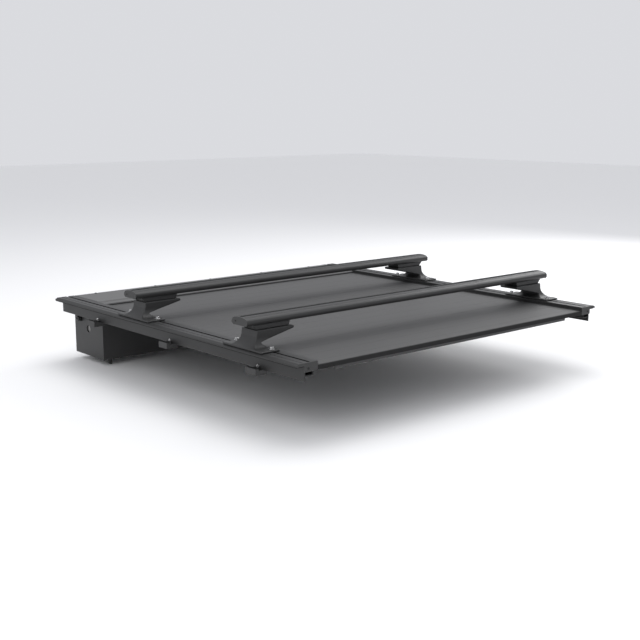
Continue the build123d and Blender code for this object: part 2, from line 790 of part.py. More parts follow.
# ---------------------------------------------------------------- cross bars
def build_bar(name, y):
    """Build one cross bar with its two feet, at a distance y from the cab-side face."""
    bar_end = bar_half - bar_cap_thickness
    top = bar_underside + bar_thickness
    section_plane = Plane.YZ

    def section_outline():
        half = bar_chord / 2
        with BuildLine() as edge:
            heel = (y - half + 5.0, bar_underside)
            toe = (y + half - 9.0, bar_underside)
            brow = (y + half - 11.0, bar_underside + 0.8 * bar_thickness)
            tail = (y - half + 4.0, bar_underside + 0.78 * bar_thickness)
            Line(heel, toe)
            ThreePointArc(toe, (y + half, bar_underside + 0.4 * bar_thickness), brow)
            ThreePointArc(brow, (y, top), tail)
            ThreePointArc(tail, (y - half, bar_underside + 0.45 * bar_thickness), heel)
        return edge.line

    with BuildPart() as bar:
        with BuildSketch(section_plane):
            make_face(section_outline())
            gap((y - bar_slot_width / 2, top - 4.0), (y + bar_slot_width / 2, top + 1.0))
            gap((y - bar_slot_channel / 2, top - 10.0), (y + bar_slot_channel / 2, top - 4.0))
            gap((y - slot_mouth / 2, bar_underside), (y + slot_mouth / 2, bar_underside + 3.0))
            gap((y - slot_width / 2, bar_underside + 3.0), (y + slot_width / 2, bar_underside + 9.0))
            gap((y + 15.0, bar_underside + 3.0), (y + 30.0, bar_underside + 18.0))
            gap((y - 32.0, bar_underside + 3.0), (y - 15.0, bar_underside + 18.0))
            for rib in (-30.0, -24.0, -18.0, 18.0, 24.0):
                gap((y + rib - 0.7, top - 4.0), (y + rib + 0.7, top + 1.0))
        extrude(amount=bar_end, both=True)
    save(bar, f"{name}_crossbar")

    with BuildPart() as strip:
        with BuildSketch(section_plane):
            band(
                (y - bar_slot_width / 2 + fit_gap, top - 4.0),
                (y + bar_slot_width / 2 - fit_gap, top + 0.6),
            )
            band(
                (y - bar_slot_channel / 2 + fit_gap, top - 7.0),
                (y + bar_slot_channel / 2 - fit_gap, top - 4.0 - fit_gap),
            )
            band(
                (y - bar_slot_width / 2 + fit_gap, top - 5.0),
                (y + bar_slot_width / 2 - fit_gap, top - 3.0),
            )
        extrude(amount=bar_end, both=True)
    save(strip, f"{name}_crossbar_strip")

    with BuildPart() as caps:
        with BuildSketch(section_plane.offset(bar_end)):
            make_face(section_outline())
        extrude(amount=bar_cap_thickness)
        with BuildSketch(section_plane.offset(-bar_end)):
            make_face(section_outline())
        extrude(amount=-bar_cap_thickness)
    save(caps, f"{name}_crossbar_end_caps")

    # Cast foot: long base on the rail, narrow neck, and a wedge arm under the bar.
    arm_root = (slot_x + 4.0, foot_base_top + 14.0)
    flare_mid = (foot_base_outer - 18.0, foot_base_top + 13.0)
    flare_top = (slot_x + foot_neck - 3.0, foot_base_top + 32.0)
    with BuildPart() as right_foot:
        with BuildSketch(Plane.XZ.offset(-y)):
            with BuildLine():
                Polyline(
                    (foot_base_inner, foot_base_top),
                    (foot_base_inner, foot_base_bottom),
                    (foot_base_outer, foot_base_bottom),
                    (foot_base_outer, foot_base_top - 2.0),
                )
                ThreePointArc((foot_base_outer, foot_base_top - 2.0), flare_mid, flare_top)
                Polyline(
                    flare_top,
                    (flare_top[0] - 3.0, foot_top),
                    (foot_top_inner + 6.0, foot_top),
                )
                ThreePointArc(
                    (foot_top_inner + 6.0, foot_top),
                    (foot_top_inner, foot_top - 5.0),
                    (foot_top_inner + 6.0, foot_top - 10.0),
                )
                Polyline((foot_top_inner + 6.0, foot_top - 10.0), arm_root)
                ThreePointArc(
                    arm_root,
                    (slot_x - 3.0, foot_base_top + 4.0),
                    (foot_base_inner, foot_base_top),
                )
            make_face()
        extrude(amount=foot_length / 2, both=True)
        with BuildSketch(Plane.YZ):
            with BuildLine():
                base_half = foot_length / 2
                neck_half = bar_chord / 2
                neck_z = foot_base_top + 26.0
                Polyline(
                    (y - base_half, foot_base_top - 1.5),
                    (y - base_half, foot_base_bottom),
                    (y + base_half, foot_base_bottom),
                    (y + base_half, foot_base_top - 1.5),
                    (y + base_half - 26.0, foot_base_top),
                )
                ThreePointArc(
                    (y + base_half - 26.0, foot_base_top),
                    (y + neck_half + 8.0, foot_base_top + 8.0),
                    (y + neck_half, neck_z),
                )
                Polyline(
                    (y + neck_half, neck_z),
                    (y + neck_half, foot_top),
                    (y - neck_half, foot_top),
                    (y - neck_half, neck_z),
                )
                ThreePointArc(
                    (y - neck_half, neck_z),
                    (y - neck_half - 8.0, foot_base_top + 8.0),
                    (y - base_half + 26.0, foot_base_top),
                )
                Line((y - base_half + 26.0, foot_base_top), (y - base_half, foot_base_top - 1.5))
            make_face()
        extrude(amount=cover_width, both=True, mode=Mode.INTERSECT)
        for end in (-foot_bolt_offset, foot_bolt_offset):
            with Locations((slot_x, y + end, foot_base_bottom + foot_base_height / 2)):
                Cylinder(bolt_radius + fit_gap, 2 * foot_base_height, mode=Mode.SUBTRACT)
    save(right_foot, f"{name}_right_foot")

    with BuildPart() as left_foot:
        mirror(right_foot.part, about=Plane.YZ)
    save(left_foot, f"{name}_left_foot")

    # Rubber-lined cradles between the feet and the bar.
    with BuildPart() as cradles:
        for side in (-1, 1):
            with BuildSketch(Plane.XZ.offset(-y)):
                Polygon(
                    (side * (foot_top_inner + 14.0), foot_top),
                    (side * (flare_top[0] - 6.0), foot_top),
                    (side * (flare_top[0] + 8.0), bar_underside),
                    (side * (foot_top_inner + 8.0), bar_underside),
                    align=None,
                )
            extrude(amount=bar_chord / 2 - 9.0, both=True)
    save(cradles, f"{name}_crossbar_cradles")

    # Cap bolts, washers and T-nuts at both ends of each base.
    head_floor = foot_base_top + washer_height
    nut_height = slot_depth - 2 * slide_gap
    with BuildPart() as fixings:
        for side in (-1, 1):
            for end in (-foot_bolt_offset, foot_bolt_offset):
                spot = (side * slot_x, y + end)
                with BuildSketch(Plane.XY.offset(foot_base_top)):
                    with Locations(spot):
                        Circle(washer_radius)
                extrude(amount=washer_height)
                with BuildSketch(Plane.XY.offset(head_floor)):
                    with Locations(spot):
                        Circle(bolt_head_radius)
                extrude(amount=bolt_head_height)
                with BuildSketch(Plane.XY.offset(head_floor + bolt_head_height)):
                    with Locations(spot):
                        RegularPolygon(3.4, 6)
                extrude(amount=-3.0, mode=Mode.SUBTRACT)
                with BuildSketch(Plane.XY.offset(slot_floor + slide_gap)):
                    with Locations(spot):
                        Circle(bolt_radius)
                extrude(amount=foot_base_top - slot_floor - slide_gap)
                with BuildSketch(Plane.XY.offset(slot_floor + slide_gap)):
                    with Locations(spot):
                        Rectangle(slot_width - 2 * slide_gap, 2.4 * bolt_head_radius)
                extrude(amount=nut_height)
    save(fixings, f"{name}_foot_fixings")


build_bar("front", front_bar_y)
build_bar("rear", rear_bar_y)
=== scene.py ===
"""Looks of a roll-up tonneau cover with two cross bars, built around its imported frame.

The frame is in metres: +X is the vehicle's right, +Y points to the cab and +Z is up. Section
sizes below are in millimetres, and places come from the frame's own nodes.
"""

import logging
from dataclasses import dataclass, field
from enum import Enum
from math import acos, asin, atan2, cos, degrees, pi, radians, sin, tan
from typing import Iterable, Sequence

import bmesh
import bpy
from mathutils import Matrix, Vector


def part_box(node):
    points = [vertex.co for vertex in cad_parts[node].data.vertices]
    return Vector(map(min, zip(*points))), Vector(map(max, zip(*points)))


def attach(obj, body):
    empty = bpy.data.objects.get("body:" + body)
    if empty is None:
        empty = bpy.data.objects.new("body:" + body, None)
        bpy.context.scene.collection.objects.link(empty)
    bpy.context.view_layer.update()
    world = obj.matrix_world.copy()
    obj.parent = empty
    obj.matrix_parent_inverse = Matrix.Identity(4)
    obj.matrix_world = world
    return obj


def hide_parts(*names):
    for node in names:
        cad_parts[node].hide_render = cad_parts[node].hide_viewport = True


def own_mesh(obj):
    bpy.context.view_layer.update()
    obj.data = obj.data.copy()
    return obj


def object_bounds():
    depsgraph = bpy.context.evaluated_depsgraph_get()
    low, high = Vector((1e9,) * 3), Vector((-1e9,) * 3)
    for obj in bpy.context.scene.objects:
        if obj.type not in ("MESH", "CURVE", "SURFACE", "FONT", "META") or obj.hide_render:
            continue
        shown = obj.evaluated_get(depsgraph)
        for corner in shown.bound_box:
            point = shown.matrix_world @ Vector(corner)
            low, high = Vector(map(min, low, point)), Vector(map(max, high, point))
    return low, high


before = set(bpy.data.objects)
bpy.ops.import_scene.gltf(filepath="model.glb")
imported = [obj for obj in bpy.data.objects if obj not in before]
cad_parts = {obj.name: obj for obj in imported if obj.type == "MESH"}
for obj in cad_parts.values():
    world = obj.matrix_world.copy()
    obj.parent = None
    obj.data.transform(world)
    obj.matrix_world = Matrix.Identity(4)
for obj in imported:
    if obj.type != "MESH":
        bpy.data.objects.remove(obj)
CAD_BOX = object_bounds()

LOG = logging.getLogger("tonneau_cover")
MM = 0.001
CORNER_SHARE = 0.48  # most of a straight run that one rounded corner may take
NO_ROOM = 1e-6  # run too short to round, in millimetres
NO_TURN = 1e-3  # corner too flat or too sharp to round, in radians
SMOOTH_ANGLE = radians(32)
EASED_ANGLE = radians(50)
GRAIN_STRENGTH = 0.35
THREAD_STRENGTH = 0.6
GLOSS_DRIFT = 0.06  # how far the roughness wanders either way
FLUTE_DEPTH = 0.93  # a flute's radius, as a share of the radius between flutes
SHARED_VERT = 1e-6  # vertices nearer than this are one, in metres

Point = tuple[float, float]
Corner = tuple[float, float, float]
Ring = tuple  # level, radius and, unless it is round, the shape
Tree = bpy.types.NodeTree
Node = bpy.types.Node
Socket = bpy.types.NodeSocket
Piece = bpy.types.Object


class Axis(Enum):
    """Direction that a section is drawn out along."""

    X = "x"
    Y = "y"
    Z = "z"


class Shape(Enum):
    """Outline of one ring of a turned piece."""

    ROUND = "round"
    HEX = "hex"
    FLUTED = "fluted"


class Side(Enum):
    """Left or right half of the cover."""

    LEFT = -1
    RIGHT = 1


# Drawing and solids
def place(axis: Axis, level: float, across: float, up: float) -> Corner:
    """Turn a level on an axis and a section point, in millimetres, into metres.

    Args:
        axis: Direction that the section is drawn out along.
        level: Distance along that axis.
        across: First section coordinate.
        up: Second section coordinate.

    Returns:
        The point in the frame, in metres.
    """
    if axis is Axis.X:
        return level * MM, across * MM, up * MM
    if axis is Axis.Y:
        return across * MM, level * MM, up * MM
    return across * MM, up * MM, level * MM


def rounded(corners: Sequence[Corner], steps: int = 4) -> list[Point]:
    """Round the corners of a closed outline.

    Args:
        corners: Corner points, each with its radius.
        steps: Straight runs in each rounded corner.

    Returns:
        The outline's points in order.
    """
    outline: list[Point] = []
    count = len(corners)
    for index, (across, up, radius) in enumerate(corners):
        before = corners[index - 1]
        after = corners[(index + 1) % count]
        back = Vector((before[0] - across, before[1] - up))
        ahead = Vector((after[0] - across, after[1] - up))
        room = CORNER_SHARE * min(back.length, ahead.length)
        if radius <= 0 or room < NO_ROOM:
            outline.append((across, up))
            continue
        back.normalize()
        ahead.normalize()
        opening = acos(max(-1.0, min(1.0, back.dot(ahead))))
        if opening < NO_TURN or opening > pi - NO_TURN:
            outline.append((across, up))
            continue
        reach = min(radius / tan(opening / 2), room)
        bend = reach * tan(opening / 2)
        centre = Vector((across, up)) + (back + ahead).normalized() * (bend / sin(opening / 2))
        start = Vector((across, up)) + back * reach - centre
        end = Vector((across, up)) + ahead * reach - centre
        first = atan2(start.y, start.x)
        sweep = atan2(end.y, end.x) - first
        sweep = (sweep + pi) % (2 * pi) - pi
        for step in range(steps + 1):
            angle = first + sweep * step / steps
            outline.append((centre.x + bend * cos(angle), centre.y + bend * sin(angle)))
    return outline


def arc(centre: Point, radius: float, first: float, last: float, steps: int) -> list[Corner]:
    """Give points on an arc as corners with no rounding of their own.

    Args:
        centre: Centre of the arc.
        radius: Radius of the arc.
        first: Start angle in degrees.
        last: End angle in degrees.
        steps: Straight runs along the arc.

    Returns:
        The points as corners.
    """
    angles = [radians(first + (last - first) * step / steps) for step in range(steps + 1)]
    return [(centre[0] + radius * cos(a), centre[1] + radius * sin(a), 0.0) for a in angles]


def block(low: Point, high: Point, radius: float = 0.0) -> list[Point]:
    """Give the outline of a rectangle between two corners, with rounded corners."""
    corners = [(low[0], low[1]), (high[0], low[1]), (high[0], high[1]), (low[0], high[1])]
    return rounded([(a, b, radius) for a, b in corners])


def t_slot(
    middle: float, mouth: float, half: float, levels: Corner, radii: Corner
) -> list[Corner]:
    """Give the corners of a T-slot, across from one side of its mouth to the other.

    Args:
        middle: The slot's middle line.
        mouth: Half the mouth's width, negative to go the other way.
        half: Half the channel's width, with the same sign.
        levels: Levels of the face, the lip's inside and the floor.
        radii: Radii at the mouth, at the lip and at the floor.

    Returns:
        The eight corners.
    """
    face, lip, floor = zip(levels, radii)
    near = [(middle - mouth, *face), (middle - mouth, *lip), (middle - half, *lip)]
    far = [(middle + half, *lip), (middle + mouth, *lip), (middle + mouth, *face)]
    return [*near, (middle - half, *floor), (middle + half, *floor), *far]


def on_side(side: Side, outline: Iterable[Point]) -> list[Point]:
    """Put a right-side outline on one side of the cover."""
    return [(across * side.value, up) for across, up in outline]


def centre_of(axis: Axis, low: Vector, high: Vector) -> Point:
    """Give the middle of a box as seen along an axis."""
    across, up = {Axis.X: (1, 2), Axis.Y: (0, 2), Axis.Z: (0, 1)}[axis]
    return (low[across] + high[across]) / 2, (low[up] + high[up]) / 2


def ease_edges(made: Piece, width: float, steps: int = 2) -> None:
    """Round an object's sharp edges.

    Args:
        made: The object.
        width: Width of the rounding in millimetres.
        steps: Runs in each rounding.
    """
    ease = made.modifiers.new("eased edges", "BEVEL")
    ease.width = width * MM
    ease.segments = steps
    ease.limit_method = "ANGLE"
    ease.angle_limit = EASED_ANGLE
    ease.use_clamp_overlap = True


@dataclass
class Shell:
    """Closed solids that are gathered into one piece."""

    mesh: bmesh.types.BMesh = field(default_factory=bmesh.new)

    def prism(
        self,
        axis: Axis,
        low: float,
        high: float,
        outline: Sequence[Point],
        holes: Iterable[Sequence[Point]] = (),
    ) -> "Shell":
        """Draw a section out into a closed solid.

        Args:
            axis: Direction of the draw.
            low: Start of the solid.
            high: End of the solid.
            outline: Outer outline of the section.
            holes: Outlines of the hollows that run the whole length.

        Returns:
            This shell.
        """
        rims: list[list[bmesh.types.BMEdge]] = [[], []]
        for loop in (outline, *holes):
            ends = [
                [self.mesh.verts.new(place(axis, level, a, b)) for a, b in loop]
                for level in (low, high)
            ]
            count = len(loop)
            for k in range(count):
                after = (k + 1) % count
                self.mesh.faces.new((ends[0][k], ends[0][after], ends[1][after], ends[1][k]))
            for rim, ring in zip(rims, ends):
                rim += [self.mesh.edges.get((ring[k], ring[(k + 1) % count])) for k in range(count)]
        for rim in rims:
            bmesh.ops.triangle_fill(self.mesh, edges=rim, use_beauty=True, use_dissolve=False)
        return self

    def turned(
        self,
        axis: Axis,
        centre: Point,
        rings: Sequence[Ring],
        sides: int = 36,
        bored: bool = False,
    ) -> "Shell":
        """Join rings along an axis into a closed solid.

        Args:
            axis: Axis of the solid.
            centre: Where the axis crosses the section plane.
            rings: Level, radius and, unless it is round, shape of each ring, in order.
            sides: Points on each ring.
            bored: Whether the last ring meets the first, as in a tube.

        Returns:
            This shell.
        """
        made = []
        for level, radius, *given in rings:
            shape = given[0] if given else Shape.ROUND
            ring = []
            for k in range(sides):
                angle = 2 * pi * k / sides
                reach = radius
                if shape is Shape.HEX:
                    reach = radius * cos(pi / 6) / cos(angle % (pi / 3) - pi / 6)
                elif shape is Shape.FLUTED and k % 3 == 0:
                    reach = radius * FLUTE_DEPTH
                across = centre[0] + reach * cos(angle)
                up = centre[1] + reach * sin(angle)
                ring.append(self.mesh.verts.new(place(axis, level, across, up)))
            made.append(ring)
        pairs = list(zip(made, made[1:]))
        if bored:
            pairs.append((made[-1], made[0]))
        for one, other in pairs:
            for k in range(sides):
                after = (k + 1) % sides
                self.mesh.faces.new((one[k], one[after], other[after], other[k]))
        if not bored:
            self.mesh.faces.new(made[0])
            self.mesh.faces.new(made[-1])
        return self

    def piece(self, name: str, edge: float = 0.3, steps: int = 2) -> Piece:
        """Turn the gathered solids into one object, smooth by angle, with eased edges.

        Args:
            name: Name of the piece.
            edge: Width of the eased edges in millimetres, or 0 for none.
            steps: Runs in each eased edge.

        Returns:
            The new object.
        """
        bmesh.ops.recalc_face_normals(self.mesh, faces=self.mesh.faces[:])
        data = bpy.data.meshes.new(name)
        self.mesh.to_mesh(data)
        self.mesh.free()
        data.shade_smooth()
        data.set_sharp_from_angle(angle=SMOOTH_ANGLE)
        made = bpy.data.objects.new(name, data)
        bpy.context.scene.collection.objects.link(made)
        if edge > 0:
            ease_edges(made, edge, steps)
        flatten(made)
        return made


def flatten(made: Piece) -> None:
    """Let the broad faces set the shading, so that flats next to rounded edges look flat."""
    weigh = made.modifiers.new("flat faces", "WEIGHTED_NORMAL")
    weigh.keep_sharp = True
    weigh.weight = 90


def apply_modifiers(made: Piece) -> None:
    """Bake an object's modifiers into its mesh."""
    graph = bpy.context.evaluated_depsgraph_get()
    final = bpy.data.meshes.new_from_object(made.evaluated_get(graph))
    made.modifiers.clear()
    made.data = final


def casting(node: str, name: str, grain: float, passes: int, share: float) -> Piece:
    """Copy a CAD solid as a casting with soft, blended edges.

    Args:
        node: CAD node that gives the shape.
        name: Name of the piece.
        grain: Size of the remeshing cells in millimetres.
        passes: Smoothing passes.
        share: Share of the faces that are kept.

    Returns:
        The new object.
    """
    made = bpy.data.objects.new(name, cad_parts[node].data.copy())
    made.data.materials.clear()
    bpy.context.scene.collection.objects.link(made)
    remesh = made.modifiers.new("cells", "REMESH")
    remesh.mode = "VOXEL"
    remesh.voxel_size = grain * MM
    smooth = made.modifiers.new("blend", "SMOOTH")
    smooth.factor = 0.5
    smooth.iterations = passes
    thin = made.modifiers.new("thin", "DECIMATE")
    thin.ratio = share
    apply_modifiers(made)
    made.data.shade_smooth()
    return made


# Finishes
def grey(level: float, warm: float = 0.0) -> tuple[float, float, float, float]:
    """Turn a display grey from 0 to 255 into a linear colour, slightly warm or cool."""
    tone = (level / 255) ** 2.2
    return tone * (1 + warm), tone, tone * (1 - warm), 1.0


def raise_surface(
    tree: Tree, shader: Node, height: Socket, strength: float, depth: float
) -> None:
    """Turn a pattern into fine relief.

    Args:
        tree: The material's nodes.
        shader: The shader that takes the relief.
        height: The pattern.
        strength: Share of the relief that shows.
        depth: Depth of the relief in millimetres.
    """
    bump = tree.nodes.new("ShaderNodeBump")
    bump.inputs["Strength"].default_value = strength
    bump.inputs["Distance"].default_value = depth * MM
    tree.links.new(height, bump.inputs["Height"])
    tree.links.new(bump.outputs["Normal"], shader.inputs["Normal"])


@dataclass(frozen=True)
class Finish:
    """A surface: its colour, gloss and fine relief.

    Attributes:
        name: Name of the material.
        colour: Linear base colour.
        roughness: Gloss, from 0 for a mirror to 1 for chalk.
        metallic: 1 for bare metal.
        drift: Share that the colour wanders in soft patches.
        patches: Patches to the metre.
        relief: Depth of the grain in millimetres.
        grains: Grains to the metre.
        stretch: How the grain is drawn out along X, Y and Z.
        specular: Strength of the gloss.
        sheen: Strength of the fabric sheen.
    """

    name: str
    colour: tuple[float, float, float, float]
    roughness: float
    metallic: float = 0.0
    drift: float = 0.08
    patches: float = 6.0
    relief: float = 0.03
    grains: float = 900.0
    stretch: tuple[float, float, float] = (1.0, 1.0, 1.0)
    specular: float = 0.5
    sheen: float = 0.0

    def make(self) -> bpy.types.Material:
        """Build the material, once for each name.

        Returns:
            The material.
        """
        known = bpy.data.materials.get(self.name)
        if known:
            return known
        made = bpy.data.materials.new(self.name)
        made.use_nodes = True
        nodes = made.node_tree.nodes
        shader = nodes["Principled BSDF"]
        shader.inputs["Metallic"].default_value = self.metallic
        shader.inputs["Specular IOR Level"].default_value = self.specular
        shader.inputs["Sheen Weight"].default_value = self.sheen
        shader.inputs["Sheen Roughness"].default_value = 0.5
        where = nodes.new("ShaderNodeTexCoord").outputs["Object"]
        self.patch_colour(made.node_tree, shader, where)
        self.surface(made.node_tree, shader, where)
        return made

    def patch_colour(self, tree: Tree, shader: Node, where: Socket) -> None:
        """Let the colour and the gloss wander in soft patches.

        Args:
            tree: The material's nodes.
            shader: The shader that takes the colour and the gloss.
            where: Place on the piece.
        """
        nodes, links = tree.nodes, tree.links
        patch = nodes.new("ShaderNodeTexNoise")
        patch.inputs["Scale"].default_value = self.patches
        patch.inputs["Detail"].default_value = 5.0
        links.new(where, patch.inputs["Vector"])
        tint = nodes.new("ShaderNodeValToRGB")
        tint.color_ramp.elements[0].position = 0.3
        tint.color_ramp.elements[1].position = 0.7
        for stop, change in zip(tint.color_ramp.elements, (1 - self.drift, 1 + self.drift)):
            stop.color = (*[min(1.0, c * change) for c in self.colour[:3]], 1.0)
        links.new(patch.outputs["Fac"], tint.inputs["Fac"])
        links.new(tint.outputs["Color"], shader.inputs["Base Color"])
        gloss = nodes.new("ShaderNodeMapRange")
        gloss.inputs["To Min"].default_value = max(0.05, self.roughness - GLOSS_DRIFT)
        gloss.inputs["To Max"].default_value = min(1.0, self.roughness + GLOSS_DRIFT)
        links.new(patch.outputs["Fac"], gloss.inputs["Value"])
        links.new(gloss.outputs["Result"], shader.inputs["Roughness"])

    def surface(self, tree: Tree, shader: Node, where: Socket) -> None:
        """Give the surface its fine grain.

        Args:
            tree: The material's nodes.
            shader: The shader that takes the relief.
            where: Place on the piece.
        """
        if not self.relief:
            return
        nodes, links = tree.nodes, tree.links
        drawn = nodes.new("ShaderNodeMapping")
        drawn.inputs["Scale"].default_value = self.stretch
        links.new(where, drawn.inputs["Vector"])
        grain = nodes.new("ShaderNodeTexNoise")
        grain.inputs["Scale"].default_value = self.grains
        grain.inputs["Detail"].default_value = 2.0
        links.new(drawn.outputs["Vector"], grain.inputs["Vector"])
        raise_surface(tree, shader, grain.outputs["Fac"], GRAIN_STRENGTH, self.relief)


@dataclass(frozen=True)
class Woven(Finish):
    """Webbing with threads both ways."""

    threads: float = 700.0

    def surface(self, tree: Tree, shader: Node, where: Socket) -> None:
        """Give the surface its crossed threads.

        Args:
            tree: The material's nodes.
            shader: The shader that takes the relief.
            where: Place on the piece.
        """
        nodes, links = tree.nodes, tree.links
        heights = []
        for direction in ("X", "Y"):
            wave = nodes.new("ShaderNodeTexWave")
            wave.bands_direction = direction
            wave.inputs["Scale"].default_value = self.threads / 3.0
            links.new(where, wave.inputs["Vector"])
            heights.append(wave.outputs["Fac"])
        both = nodes.new("ShaderNodeMath")
        both.operation = "MULTIPLY"
        links.new(heights[0], both.inputs[0])
        links.new(heights[1], both.inputs[1])
        raise_surface(tree, shader, both.outputs["Value"], THREAD_STRENGTH, self.relief)


CURTAIN_COAT = Finish(
    "curtain_powder_coat", grey(72), 0.58, drift=0.05, relief=0.05, grains=1500.0, specular=0.4
)
LID_COAT = Finish("lid_powder_coat", grey(88), 0.52, drift=0.05, relief=0.04, grains=1500.0)
ALONG_RAIL, ALONG_BAR = (1, 0.04, 1), (0.04, 1, 1)
RAIL_ANODISE = Finish(
    "rail_black_anodise", grey(44), 0.46, metallic=0.2, relief=0.02, stretch=ALONG_RAIL
)
BAR_ANODISE = Finish(
    "bar_black_anodise", grey(52), 0.42, metallic=0.2, relief=0.02, stretch=ALONG_BAR
)
FOOT_COAT = Finish("foot_black_coat", grey(42), 0.45, relief=0.06, grains=1200.0)
CANISTER_COAT = Finish("canister_black_coat", grey(48), 0.5, relief=0.04)
MOULDING = Finish("black_moulding", grey(46), 0.5, relief=0.05, grains=1400.0)
NYLON = Finish("slat_guide_nylon", grey(34), 0.42, relief=0.0)
RUBBER = Finish("black_rubber", grey(28), 0.72, relief=0.05, grains=1600.0, specular=0.3)
FOAM = Finish("closed_cell_foam", grey(40), 0.9, relief=0.3, grains=700.0, specular=0.2)
BRISTLE = Finish("brush_bristle", grey(26), 0.8, relief=0.2, grains=2000.0, stretch=(1, 1, 0.05))
WEBBING = Woven("strap_webbing", grey(38), 0.85, relief=0.4, specular=0.2, sheen=0.4)
BLACK_STEEL = Finish("blackened_steel", grey(62), 0.4, metallic=0.9, relief=0.02, patches=40.0)
ZINC = Finish("zinc_plate", grey(132, 0.02), 0.42, metallic=1.0, relief=0.03, patches=40.0)
STAINLESS = Finish("stainless_steel", grey(198), 0.26, metallic=1.0, relief=0.02, patches=60.0)
MILL = Finish("mill_aluminium", grey(188), 0.42, metallic=1.0, relief=0.03, stretch=(0.05, 1, 1))
MOTOR_PAINT = Finish("motor_paint", grey(196), 0.32, relief=0.01)


def dress(
    made: Piece,
    finish: Finish,
    body: str = "root",
    stands_for: Sequence[str] = (),
) -> Piece:
    """Paint a piece, put it on its body and hide the CAD nodes that it replaces.

    Args:
        made: The piece.
        finish: Its finish.
        body: Body that it moves with.
        stands_for: CAD nodes that it replaces.

    Returns:
        The piece.
    """
    made.data.materials.clear()
    made.data.materials.append(finish.make())
    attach(made, body)
    if stands_for:
        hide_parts(*stands_for)
    LOG.info("%s rides on %s", made.name, body)
    return made


def repaint(node: str, finish: Finish, edge: float = 0.0) -> None:
    """Give a CAD node a better finish and, if asked, eased edges.

    Args:
        node: The CAD node.
        finish: Its finish.
        edge: Width of the eased edges in millimetres, or 0 for none.
    """
    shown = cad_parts[node]
    for held in shown.material_slots:
        held.material = finish.make()
    if edge:
        ease_edges(shown, edge)
        flatten(shown)
    LOG.info("%s keeps its shape", node)


def limits(node: str) -> tuple[Vector, Vector]:
    """Give a node's lowest and highest corner in millimetres."""
    low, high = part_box(node)
    return low / MM, high / MM


def button_screw(
    shell: Shell, axis: Axis, centre: Point, seat: float, out: float, radius: float
) -> None:
    """Add a button-head screw with a hexagon socket.

    Args:
        shell: Shell that takes the screw.
        axis: Axis of the screw.
        centre: Where the axis crosses the section plane.
        seat: Level of the face under the head.
        out: 1 or -1, the way that the head points.
        radius: Radius of the head.
    """
    rings = [
        (seat, radius), (seat + out * 0.15 * radius, radius),
        (seat + out * 0.34 * radius, 0.86 * radius), (seat + out * 0.46 * radius, 0.6 * radius),
        (seat + out * 0.46 * radius, 0.44 * radius, Shape.HEX),
        (seat + out * 0.14 * radius, 0.44 * radius, Shape.HEX),
    ]
    shell.turned(axis, centre, rings)


